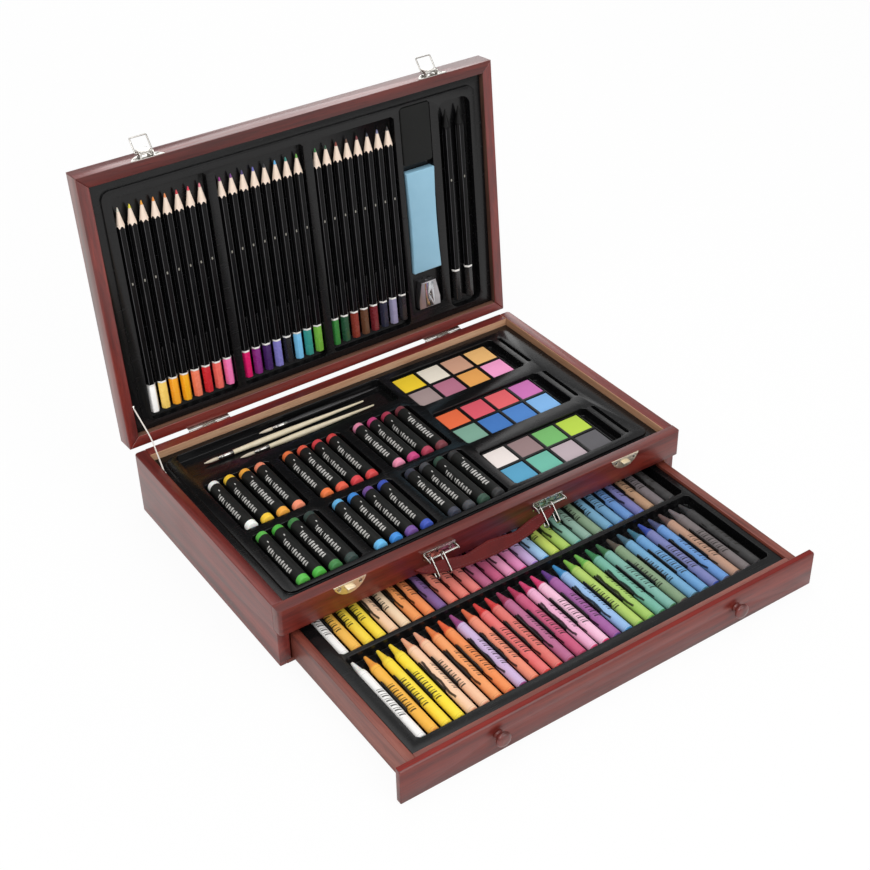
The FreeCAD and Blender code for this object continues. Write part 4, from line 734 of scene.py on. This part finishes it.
CASE = "470F0B 761F17 963526"
INNER = "54221A 864234 A45C4A"
RAW = "9C6E50 C79A78 DDB896"
case_x = wood("case_wood_x", "x", CASE)
case_y = wood("case_wood_y", "y", CASE, shift=0.37)
case_z = wood("case_wood_z", "z", CASE, shift=0.83)
front_wood = wood("front_wood", "x", "3C0E0A 6E1F16 8A3223", coat=0.4, shift=0.52)
# A darker copy of the case wood for the lid's mating rim: painted shade.
shaded_rim_x = wood("shaded_rim_wood_x", "x", "360B08 5E1A13 78291F", coat=0.25)
# A lighter, redder copy of the front wood for the drawer front's top edge: painted light.
lit_rim_red = wood("lit_rim_wood_red", "x", "5E120D 7E1D15 96291E", 0.5, 0.05, 0.1, 0.25)
inner_x = wood("inner_wood_x", "x", INNER, 0.45, 0.3, 0.2)
inner_y = wood("inner_wood_y", "y", INNER, 0.45, 0.4, 0.7)
raw_x = wood("raw_wood_x", "x", RAW, 0.6, 0.0, 0.4)
raw_y = wood("raw_wood_y", "y", RAW, 0.6, 0.0, 0.6)
# Darker copies of the bare wood for the lid's inner faces: painted shade.
shaded_raw_lid = wood("shaded_raw_wood_lid", "x", "4A2C22 75503E 916A54", 0.6, 0.0, 0.3)
shaded_raw_z = wood("shaded_raw_wood_z", "z", "33201A 573A2D 735243", 0.6, 0.0, 0.9)
knob_wood = wood("knob_wood", "y", "3A130F 6A2B25 86403A", 0.34, 0.5)
tray_black = plastic("tray_black", "0A0A0B 131314", 0.20)
pan_black = plastic("pan_black", "080809 101011", 0.28, 60.0, 0.2)
nickel = metal("nickel", "CFCAC2 8F8B84", 0.20)
bright = metal("bright_nickel", "E0DDD8 8F8B84", 0.14)
gilt = metal("warm_nickel", "FBF3E4 E2D3B4", 0.40)
light_metal = metal("light_metal", "C9C6C8 9C999C", 0.34)
steel = metal("blade_steel", "D8DADD A9ABB0", 0.16)
wax_stick = wax("wax_stick")
pastel_stick = wax("pastel_stick", 0.5)
wrapper_paper = crayon_paper()
pastel_wrapper = pastel_paper()
black_lacquer = pencil_lacquer()
cap_lacquer = cap_paint()
ring_paint = plain("ring_paint", "E9E7E2 F6F4F0", 0.32)
bare_wood = cut_wood()
dark_point = plain("dark_point", "080808 101010", 0.5, 0.00008, 300.0, Specular_IOR_Level=0.2)
cake = paint_cake()
strap_leather = leather()
stitch_thread = plain("stitch_thread", "4B1A1A 6A2A28", 0.7, 0.0001, 500.0)
rubber_blue = plain("eraser_sleeve", "84B2C9 94BFD4", 0.5, 0.00012, 60.0)
pad_black = plain("pad_face", "0B0C0B 141514", 0.62, 0.00020, 400.0, Specular_IOR_Level=0.25)
cream_wood = plain("brush_cream", "E6DCC4 CDBE9C", 0.42, 0.00010, 160.0)
brush_black = plain("brush_black", "121112 232122", 0.24, 0.00006, 90.0)
cord_weave = braid()
brush_hair = hair()


# ---------------- boards and formed trays

TO_LEFT, TO_RIGHT = Vector((-1.0, 0.0, 0.0)), Vector((1.0, 0.0, 0.0))
FORWARD, UPWARD = Vector((0.0, -1.0, 0.0)), Vector((0.0, 0.0, 1.0))
DOWN_LID = LID_OPEN.to_3x3() @ -FORWARD
FACE_OF_LID = LID_OPEN.to_3x3() @ -UPWARD
RED, BOARD, TRAY = "mahogany_wood", "inner_board", "black_tray"
for board in (
    ("right_side_panel", case_y, RED, 0.8, 3, (raw_y, TO_LEFT)),
    ("left_side_panel", case_y, RED, 0.8, 3, (raw_y, TO_RIGHT)),
    ("front_rail", front_wood, RED, 0.7, 3),
    ("back_panel", case_x, RED, 0.7, 3, (raw_x, FORWARD)),
    ("bottom_panel", inner_x, BOARD, 0.3),
    ("divider_panel", inner_x, BOARD, 0.3),
    # The lid's inner faces take darker copies of the bare wood, and its mating rim a darker copy of
    # the case wood: painted shade.
    ("lid_front_rail", case_x, RED, 0.7, 3, (shaded_raw_z, DOWN_LID), (shaded_rim_x, FACE_OF_LID)),
    ("lid_back_rail", case_x, RED, 0.7, 3, (shaded_raw_lid, -DOWN_LID)),
    ("lid_right_rail", case_z, RED, 0.8, 3, (shaded_raw_z, TO_LEFT)),
    ("lid_left_rail", case_z, RED, 0.8, 3, (shaded_raw_z, TO_RIGHT)),
    ("lid_top_panel", case_x, RED, 0.4),
    # The drawer front's top edge takes a lighter, redder copy of its wood: painted light.
    ("drawer_front", front_wood, RED, 0.6, 3, (lit_rim_red, UPWARD)),
    ("drawer_right_side", inner_y, BOARD, 0.4),
    ("drawer_left_side", inner_y, BOARD, 0.4),
    ("drawer_inner_wall", inner_x, BOARD, 0.4),
    ("drawer_back_wall", inner_x, BOARD, 0.4),
    ("drawer_bottom_panel", inner_x, BOARD, 0.3),
    ("upper_tray", tray_black, TRAY, 0.6, 3),
    ("crayon_tray", tray_black, TRAY, 0.6, 3),
    ("pencil_tray", tray_black, TRAY, 0.6, 3),
    ("palettes", pan_black, TRAY, 0.35),
):
    eased(*board)


# ---------------- crayons and oil pastels

WRAPPERS = {
    "front": "F3F1EE F2B23A F6D830 F7DE2E F3C8A6 F0BE9A EE9A5C EC8A4A C9AED4 E8896C E26C6A DA6E66 "
             "B26088 C24E74 E8A8C8 F0BCD4 9C5698 8FB4DE A9C65E 9CC05C 6CAC98 76AC9E 7A9371 679EC3 "
             "6197C7 6F75AA 5E8EC8 B08871 6C6363 242323",
    "back": "F4F2EF F0B848 F3D437 F5DA34 F1C9A4 EFD2AE EC9650 EB8A4C 7A5590 E4806A E17A6C DD7670 "
            "B45A80 BC5078 E294B8 DC84B4 C4A8D6 9CC4E4 BFD25C A9C85C 7FB09E 86A898 7C9678 6CA0BE "
            "6699BE 5E8CC6 6F70A8 B08A6A 6E6669 2A2929",
}
TIPS = {
    "front": "F1EFEA EE9A2A F2CF1E F4D51C F0A982 EDA583 E97A34 E85C28 963A7E E0663A D8302C D42E30 "
             "9C2450 B01E50 D0346C DA306E 5C2A84 2F8AC4 7CB83A 6AB444 1F7A44 2C6A3A 4A4034 335E70 "
             "25687E 1A3FA0 3A4470 5A423E 6A6064 1B1B1E",
    "back": "F1EFEA ECA22C EFCB22 F1D11E EDB48C EBC59A E77F36 E66E30 5C3A78 DC5A44 D8504A D34A4E "
            "A8476E B23464 E0709C D84A88 9A74C4 4C9AD4 9DB82E 86B43A 4C8F88 6A8F8A 6E8470 2F78B8 "
            "2D68B0 2450A0 5C6CC0 8A6A4C 6A6866 1C1C20",
}
PASTELS = {
    "front": "4FB53C 3FAE2E 2F7A34 12312A 5FB4E6 2A86D6 6A3F92 2447B0 1C2238 33343A 12402E 121214",
    "back": "F2F2EE F2C41E F0A428 EE8A66 E9702A E0502E D42A34 CE2E2E E888A8 C22A74 A81E44 6E1626",
}
stick_form = [(0.0, 0.0), (3.2, 0.0), (3.75, 0.5), (3.8, 1.2), (3.8, 76.6), (3.62, 77.6),
              (3.05, 78.0), (2.9, 78.4), (1.32, 89.0), (1.05, 89.7), (0.6, 90.0), (0.0, 90.0)]
wrapper_form = [(3.8, 0.9), (4.05, 1.0), (4.06, 1.4), (4.06, 74.9), (4.05, 75.4), (3.8, 75.5)]
pastel_form = [(0.0, 0.0), (4.2, 0.0), (4.8, 0.35), (5.0, 1.0), (5.0, 65.0), (4.8, 65.65),
               (4.2, 66.0), (0.0, 66.0)]
cover_form = [(5.0, 5.0), (5.22, 5.1), (5.24, 5.6), (5.24, 60.2), (5.22, 60.8), (5.0, 60.9)]
for name, kind, form, steps, finish, slot, roll, seed, colours in (
    ("crayon_sticks", "crayons", stick_form, 32, wax_stick, "wax_crayon", 1.0, 5, TIPS),
    ("crayon_papers", "crayons", wrapper_form, 40, wrapper_paper, "wax_crayon", 0.9, 5, WRAPPERS),
    ("pastel_sticks", "pastels", pastel_form, 40, pastel_stick, "pastel_wrap", 0.5, 3, PASTELS),
    ("pastel_covers", "pastels", cover_form, 48, pastel_wrapper, "pastel_wrap", 0.45, 3, {}),
):
    for end in ("front", "back"):
        source = f"{kind}_{end}_row"
        row(f"{name}_{end}", lathe(name, form, steps), spots_of(source), finish, body_of(source),
            slot, (source,), (0.0, roll, 0.0), seed, tones(colours.get(end, "")))


# ---------------- pencils

# In millimetres: from the axis to a flat and to a rounded corner, the cone's radius at its tip
# and how much it widens in each millimetre.
FLAT, CORNER, TIP, SLOPE = 3.5, 3.92, 0.42, 0.2075
PENCIL_STEPS = 48
TURNS = [2 * math.pi * step / PENCIL_STEPS + math.pi / 6 for step in range(PENCIL_STEPS)]


def hex_radius(angle):
    """The distance from the axis to a six-sided barrel's surface."""
    folded = (angle + math.pi / 6) % (math.pi / 3) - math.pi / 6
    return min(FLAT / math.cos(folded), CORNER)


def cone_ring(distance):
    """One ring of the sharpened cone."""
    return [ring_place(TIP + SLOPE * distance, angle, distance) for angle in TURNS]


def scallop_ring(more=0.0, later=0.0):
    """The ring where the sharpened cone meets the lacquered flats."""
    return [ring_place(hex_radius(angle) + more, angle, (hex_radius(angle) - TIP) / SLOPE + later)
            for angle in TURNS]


def hex_ring(distance, more=0.0, share=1.0):
    """One ring of the barrel."""
    return [ring_place(hex_radius(angle) * share + more, angle, distance) for angle in TURNS]


def pencils(kind, sources, cone, ring_from, ring_width, seed, finishes, leads, caps):
    """A set of pencils in the lid: leads, cones, barrels, painted rings and dipped ends."""
    spots = sorted((spot for name in sources for spot in spots_of(name, LID_CLOSED)),
                   key=lambda spot: spot.x)
    ring_to, end = ring_from + ring_width, 180.0
    lead = [(0.0, 0.1), (0.3, 0.2), *[(TIP + SLOPE * along, along) for along in (0.8, 3.4)]]
    barrel = [scallop_ring(), scallop_ring(0.03, 0.15), hex_ring(19.0), hex_ring(ring_from)]
    ring = [hex_ring(ring_from), hex_ring(ring_from + 0.05, 0.04), hex_ring(ring_to, 0.04),
            hex_ring(ring_to + 0.05)]
    cap = [hex_ring(ring_to + 0.05), hex_ring(ring_to + 0.35, 0.02), hex_ring(end - 1.2, 0.02),
           *[hex_ring(end - before, share=share)
             for before, share in ((0.45, 0.95), (0.08, 0.80), (0.0, 0.55))]]
    for name, mesh, finish, colours in (
        ("leads", lathe("lead", lead, 24), finishes[0], leads),
        ("cones", skin("cone", [*map(cone_ring, cone), scallop_ring()]), finishes[1], None),
        ("barrels", skin("barrel", barrel), black_lacquer, None),
        ("rings", skin("ring", ring), ring_paint, None),
        ("caps", skin("cap", cap, capped=True), cap_lacquer, caps),
    ):
        row(f"{kind}_{name}", mesh, spots, finish, "lid", "pencil_wood", sources, (0.0, 0.10, 0.0),
            seed, colours, LID_OPEN)


CAPS = tones("F8F7F4 EFC964 F0A326 EEA818 E97A5C C4202A E8685C EC74AE D40E62 7E2478 3C1C5A 7C78BE "
             "17181C 74BCE4 2F8C82 6CA83A 2E7A34 1E4A32 7E2E22 5A3A26 6A1A22 1E2438 8C88A6 17171A",
             1.2)
LEADS = tones("DDD6C6 E2D43A E8A030 E88A2C E48A50 C8303A DC2C4A E07A8A A02C88 6E2C7C 3E2A6A 6A68B4 "
              "22242A 5AA8DC 2C8478 5C9C34 2C7A3A 1E4C34 80301F 5C3A26 6A1C22 20263A 807C9C 1B1B1E")
pencils("pencil", ("pencils_bay_1", "pencils_bay_2", "pencils_bay_3"), (3.4, 8.0, 12.0), 154.0, 1.6,
        8, (wax_stick, bare_wood), LEADS, CAPS)
pencils("sketch", ("sketch_pencils",), (3.4,), 149.0, 1.8, 4, (dark_point, dark_point), None,
        tones("161617 161617"))


# ---------------- sketching tools in the lid

eased("sanding_pad", pad_black, "pad_black", 0.5)
eased("eraser", rubber_blue, "rubber_blue", 1.0, 3)
eased("sharpener_body", light_metal, "light_metal", 0.3)
eased("sharpener_blade", steel, "nickel", 0.06)
eased("sharpener_screw", nickel, "nickel", 0.08)


# ---------------- paints and brushes

CAKES = tones("EDC800 E6DCCB C9967A E9B36A A08A88 B56A84 E8A04A F79CCB E2602A D64A5C E0585E C86AB0 "
              "74A08C 2E6EB8 3F7CC4 7AB0E4 E8DDD8 8E7474 6CB060 B2CE3A 4E9CC0 66B49F B5A4AA 545256")
cakes = sorted(islands("paint_cakes"), key=lambda pair: (-round(pair[0].y, 4), round(pair[0].x, 4)))
half = (cakes[0][1] - cakes[0][0]) / 2
row("paint_cakes", rounded_box("cake", -half, half, 0.7 * MM),
    [(low + high) / 2 for low, high in cakes], cake, body_of("paint_cakes"), "paint",
    ("paint_cakes",), (0.0, 0.0, 0.012), 6, CAKES)


def handle_form(length):
    """A handle that swells at its grip and thins towards its tail."""
    swell = ((0.1, 2.15), (0.2, 2.45), (0.3, 2.5), (0.42, 2.35), (0.6, 1.85), (0.78, 1.35),
             (0.92, 0.95))
    return [(0.0, 0.0), (1.85, 0.0), (1.9, 0.4),
            *[(radius, share * length) for share, radius in swell],
            (0.75, length - 0.8), (0.45, length - 0.1), (0.0, length)]


def ferrule_form(length):
    """A sleeve with two pressed bands."""
    return [(1.62, 0.0), (1.7, 0.1), (1.74, 3.0), (1.86, 3.3), (1.86, 3.9), (1.76, 4.2), (1.8, 9.6),
            (1.9, 9.9), (1.9, 10.5), (1.82, 10.8), (1.88, length - 0.1), (1.8, length)]


def tuft_form(length):
    """Hair that comes to a point."""
    return [(0.0, 0.0), (0.25, 0.15), (0.8, 2.4), (1.28, 5.6), (1.42, 8.6), (1.4, 11.0),
            (1.38, length), (0.0, length)]


handles = sorted(islands("brush_handles"), key=lambda pair: pair[1].x - pair[0].x)
for index, handle in enumerate(handles):
    middle = (handle[0] + handle[1]) / 2
    for kind, form, finish, slot in (
        ("handle", handle_form, cream_wood if index else brush_black, "brush_wood"),
        ("ferrule", ferrule_form, bright, "nickel"),
        ("tuft", tuft_form, brush_hair, "bristle"),
    ):
        source = f"brush_{kind}s"
        low, high = min(islands(source), key=lambda pair: abs(pair[0].y + pair[1].y - 2 * middle.y))
        mesh = lathe(kind, form((high.x - low.x) / MM), 28, True)
        at = Matrix.Translation((low.x, middle.y, middle.z))
        piece(f"brush_{kind}_{index + 1}", moved(mesh, at), finish, "case", slot, source)


# ---------------- knobs and screws

HALF_TURN = Matrix.Rotation(math.pi, 4, "Z")
knob_form = [(0.0, 0.05), (3.7, 0.05), (3.75, 0.5), (3.4, 1.2), (3.15, 2.2), (3.3, 3.1), (4.4, 4.0),
             (5.6, 4.6), (6.1, 5.4), (6.15, 6.2), (5.9, 7.1), (5.1, 7.9), (3.6, 8.4), (1.8, 8.58),
             (0.0, 8.6)]
row("drawer_knobs", moved(lathe("knob", knob_form, 48), HALF_TURN),
    spots_of("drawer_knobs", front=False), knob_wood, "drawer", "knob_wood", ("drawer_knobs",),
    (0.0, 0.6, 0.0), 2)
eased("knob_screws", nickel, "nickel", 0.1)


def cross_screw():
    """An oval-headed screw along +Y from its head, with a cross recess."""
    profile = [(0.0, 0.02), (1.0, 0.06), (1.6, 0.2), (1.92, 0.42), (2.0, 0.58), (2.0, 0.7),
               (1.1, 0.7), (1.1, 5.2), (0.4, 6.0), (0.0, 6.0)]
    head = placed("screw_head", lathe("screw", profile, 36))
    bars = [rounded_box("bar", place_of(-x, -1.0, -z), place_of(x, 0.52, z), 0.00005, 1)
            for x, z in ((1.15, 0.24), (0.24, 1.15))]
    tool = placed("screw_recess", joined("recess", bars))
    modifier = head.modifiers.new("recess", "BOOLEAN")
    modifier.object = tool
    modifier.solver = "EXACT"
    modifier.use_self = True
    mesh = evaluated(head)
    bpy.data.objects.remove(head)
    bpy.data.objects.remove(tool)
    return mesh


for name, from_front, in_lid in (
    ("hinge_base_screws", False, False),
    ("hinge_lid_screws", False, True),
    ("catch_screws", True, True),
    ("rail_screws", True, False),
):
    mesh = moved(cross_screw(), STILL if from_front else HALF_TURN)
    spots = spots_of(name, LID_CLOSED if in_lid else STILL, from_front)
    made = row(name, mesh, spots, bright, body_of(name), "nickel", (name,), (0.0, 0.7, 0.0), 9,
               then=LID_OPEN if in_lid else STILL)
    made.data.set_sharp_from_angle(angle=math.radians(35))


# ---------------- hinges, catches and handle

for name, finish, width in (
    ("hinge_base_leaves", nickel, 0.12),
    ("hinge_lid_leaves", nickel, 0.12),
    ("hinge_pins", bright, 0.1),
    ("strike_plates", gilt, 0.12),
    ("catch_plates", bright, 0.12),
    ("catch_pins", bright, 0.08),
    ("left_catch_lever", bright, 0.14),
    ("right_catch_lever", bright, 0.14),
    ("handle_brackets", bright, 0.15),
    ("stay_pin_base", bright, 0.08),
    ("stay_pin_lid", bright, 0.08),
):
    eased(name, finish, "nickel", width)

# The wires' radius, and in millimetres how tightly they bend; then a bail's corners from its
# left end to its right end, and where both bails turn in the closed lid.
WIRE = 0.6 * MM
BAIL_BEND, LOOP_BEND = 1.1, 1.9
BAIL = ((-4.15, 0), (-7, 0), (-7, 12.9), (7, 12.9), (7, 0), (4.15, 0))
BAIL_ASIDE, BAIL_Y, BAIL_Z, BAIL_TURN = 130.5, -121.2, 63.8, -215.0
for name, side in (("left", -1), ("right", 1)):
    line = route([place_of(x, y, 0) for x, y in BAIL], BAIL_BEND * MM)
    at = LID_OPEN @ turned(place_of(side * BAIL_ASIDE, BAIL_Y, BAIL_Z), BAIL_TURN)
    piece(f"{name}_bail_wire", moved(tube("bail", line, WIRE), at), bright, f"{name}_bail",
          "nickel", f"{name}_catch_bail")

loops = []
for low, high in islands("handle_links", HANDLE_HANG.inverted()):
    x, y = (low.x + high.x) / 2, (low.y + high.y) / 2
    front, back, down, up = low.y + WIRE, high.y - WIRE, low.z + WIRE, high.z - WIRE
    corners = ((y, down), (front, down), (front, up), (back, up), (back, down), (y, down))
    line = route([Vector((x, *corner)) for corner in corners], LOOP_BEND * MM)[:-1]
    loops.append(tube("loop", line, WIRE, closed=True))
piece("handle_loops_wire", moved(joined("loops", loops), HANDLE_HANG), bright, "handle_loops",
      "nickel", "handle_links")


def through(points, steps=8):
    """A smooth line through points."""
    line = []
    for index, (first, last) in enumerate(zip(points, points[1:])):
        before = points[max(index - 1, 0)]
        beyond = points[min(index + 2, len(points) - 1)]
        for step in range(steps):
            t = step / steps
            line.append(0.5 * (2 * first + (last - before) * t
                               + (2 * before - 5 * first + 4 * last - beyond) * t ** 2
                               + (3 * first - before - 3 * last + beyond) * t ** 3))
    return [*line, points[-1]]


def mirrored(points):
    """Points on the other side of the strap's middle."""
    return [Vector((-point.x, point.y, 0)) for point in points]


# The strap in millimetres: half its length, the lowest place of its lower edge, the middle and
# the end of its upper edge, its thickness, and where it lies between the loops.
HALF, SAG, MIDDLE_Y, END_Y, THICK, ASIDE = 65.0, 17.4, 4.8, 2.3, 4.0, -12.5
lower = ((1.0, 0.22), (0.9, 0.47), (0.62, 0.78), (0.31, 0.945), (0.0, 1.0))
upper = ((0.0, 0.0), (0.17, 0.1), (0.38, 0.2))
lower_right = through([Vector((share * HALF, SAG * drop, 0)) for share, drop in lower])
upper_right = through([
    *[Vector((share * HALF, MIDDLE_Y + (SAG - MIDDLE_Y) * lift, 0)) for share, lift in upper],
    Vector((0.66 * HALF, (END_Y + MIDDLE_Y) / 2, 0)), Vector((HALF, END_Y, 0))])
nose = [Vector((HALF + 0.9, 3.5, 0)), Vector((HALF + 0.9, 2.8, 0))]
outline = [*mirrored(lower_right), *lower_right[-2::-1], *nose, *upper_right[::-1],
           *mirrored(upper_right)[1:], *mirrored(nose)[::-1]]
shape = bmesh.new()
near, far = [[shape.verts.new(place_of(p.x, p.y, side * THICK / 2)) for p in outline]
             for side in (-1, 1)]
shape.faces.new(near)
shape.faces.new(far[::-1])
for index in range(len(near)):
    shape.faces.new([near[index - 1], near[index], far[index], far[index - 1]])
bmesh.ops.recalc_face_normals(shape, faces=shape.faces)
strap_at = HANDLE_HANG @ Matrix.Translation(place_of(ASIDE, 0, 0))
made = piece("handle_strap", moved(to_mesh(shape, "strap"), strap_at), strap_leather, "handle",
             "strap", "handle_grip")
bevel(made, 1.7, 5, 50.0)

STITCHES, STITCH_INSET, STITCH_REACH = 46, 1.7, 0.93 * HALF
stitches = []
for edge, way in ((lower_right, -1), (upper_right, 1)):
    line = sorted([*mirrored(edge), *edge[1:]], key=lambda p: p.x)
    for index in range(STITCHES):
        x = STITCH_REACH * (2 * index / (STITCHES - 1) - 1)
        y = next(a.y + (b.y - a.y) * (x - a.x) / (b.x - a.x)
                 for a, b in zip(line, line[1:]) if a.x <= x <= b.x and b.x > a.x)
        stitches += [place_of(x, y + way * STITCH_INSET, side * (THICK / 2 + 0.02))
                     for side in (-1, 1)]
dash = rounded_box("dash", place_of(-0.8, -0.2, -0.16), place_of(0.8, 0.2, 0.16), 0.00012, 2)
row("strap_stitches", dash, stitches, stitch_thread, "handle", "strap", (), (0.0, 0.0, 0.12), 7,
    then=strap_at)


# ---------------- stay cord

# In millimetres: from a button's middle to the cord's end, how far the cord bows aside, and the
# middles of its two buttons.
PIN_RADIUS, BOW = 2.2, 2.5
cord_low, cord_high = Vector((-179.4, 84.5, 53.0)), Vector((-179.8, 130.97, 91.62))
cord_middle = (cord_low + cord_high) / 2 + Vector((BOW, 0, 0))
cord_from, cord_to = [end + (cord_middle - end).normalized() * PIN_RADIUS
                      for end in (cord_low, cord_high)]
bends = [end + (cord_middle - end) * 0.55 for end in (cord_from, cord_to)]
curve = bpy.data.curves.new("stay_route", "CURVE")
curve.dimensions = "3D"
spline = curve.splines.new("NURBS")
spline.points.add(4)
for point, place in zip(spline.points, (cord_from, bends[0], cord_middle, bends[1], cord_to)):
    point.co = (*(place * MM), 1.0)
spline.order_u = 3
spline.use_endpoint_u = True
spline.resolution_u = 12
holder = placed("stay_route", curve)
line = [vertex.co.copy() for vertex in evaluated(holder).vertices]
bpy.data.objects.remove(holder)
length = sum((b - a).length for a, b in zip(line, line[1:]))
stay = piece("stay_cord_woven", tube("stay", line, WIRE, 12), cord_weave, None, "cord", "stay_cord")
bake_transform(stay)


# ---------------- stage, light and camera

def rays(tree, *kinds):
    """Fields that say what kind of ray is at work."""
    path = node(tree, "ShaderNodeLightPath")
    return [Field(path.outputs[f"Is {kind} Ray"]) for kind in kinds]


floor = bpy.data.meshes.new("floor")
floor.from_pydata([(-6, -6, 0), (6, -6, 0), (6, 6, 0), (-6, 6, 0)], [], [(0, 1, 2, 3)])
floor_white = bpy.data.materials.new("floor_white")
floor_white.use_nodes = True
tree = floor_white.node_tree
shader = tree.nodes["Principled BSDF"]
for label, value in (("Base Color", (0.86, 0.86, 0.86, 1.0)), ("Roughness", 0.9),
                     ("Specular IOR Level", 0.1)):
    plug(value, shader.inputs[label])
camera_ray, glossy_ray = rays(tree, "Camera", "Glossy")
glow = node(tree, "ShaderNodeEmission",
            {"Color": mixed(tree, camera_ray, (1.0, 0.93, 0.88, 1.0), WHITE), "Strength": 1.0})
place = node(tree, "ShaderNodeTexCoord").outputs["Object"]
across = Field(node(tree, "ShaderNodeSeparateXYZ", {0: place}).outputs[0])
glare = glossy_ray * across.ranged({1: -0.15, 2: -0.44, 3: 0.14, 4: 0.82})
surface = node(tree, "ShaderNodeMixShader",
               {0: (camera_ray * 0.93).most(glare), 1: shader.outputs[0], 2: glow.outputs[0]})
plug(surface.outputs[0], tree.nodes["Material Output"].inputs["Surface"])
floor.materials.append(floor_white)
placed("floor", floor)

for name, place, aim, size, power in (
    ("behind", (0.90, 1.95, 1.00), (0.0, 0.14, 0.29), 1.4, 11.0),
    ("key", (-1.5, -1.0, 1.9), (0.0, 0.0, 0.1), 1.4, 27.0),
    ("front", (0.6, -2.1, 1.3), (0.0, 0.0, 0.12), 1.6, 23.0),
    ("top", (0.2, 0.3, 2.3), (0.0, -0.05, 0.0), 2.0, 18.0),
):
    light = bpy.data.lights.new(name, "AREA")
    light.shape = "SQUARE"
    light.size = size
    light.energy = power
    item = placed(name, light)
    item.location = place
    item.rotation_euler = (Vector(aim) - Vector(place)).to_track_quat("-Z", "Y").to_euler()

scene = bpy.context.scene
world = scene.world = bpy.data.worlds.new("studio")
world.use_nodes = True
background = world.node_tree.nodes["Background"]
plug(WHITE, background.inputs["Color"])
camera_ray, clear_ray, glossy_ray = rays(world.node_tree, "Camera", "Transmission", "Glossy")
strength = camera_ray.most(clear_ray).most(glossy_ray * 0.42).most(0.38)
plug(strength, background.inputs["Strength"])

scene.view_settings.view_transform = "Standard"
lens = bpy.data.cameras.new("camera")
lens.lens = 63.285
lens.sensor_width = 36.0
lens.clip_start = 0.01
lens.clip_end = 50.0
camera = placed("camera", lens)
camera.location = (-0.54580, -0.85416, 0.79048)
camera.rotation_euler = [math.radians(angle) for angle in (54.3362, 1.0174, -34.5404)]
scene.camera = camera
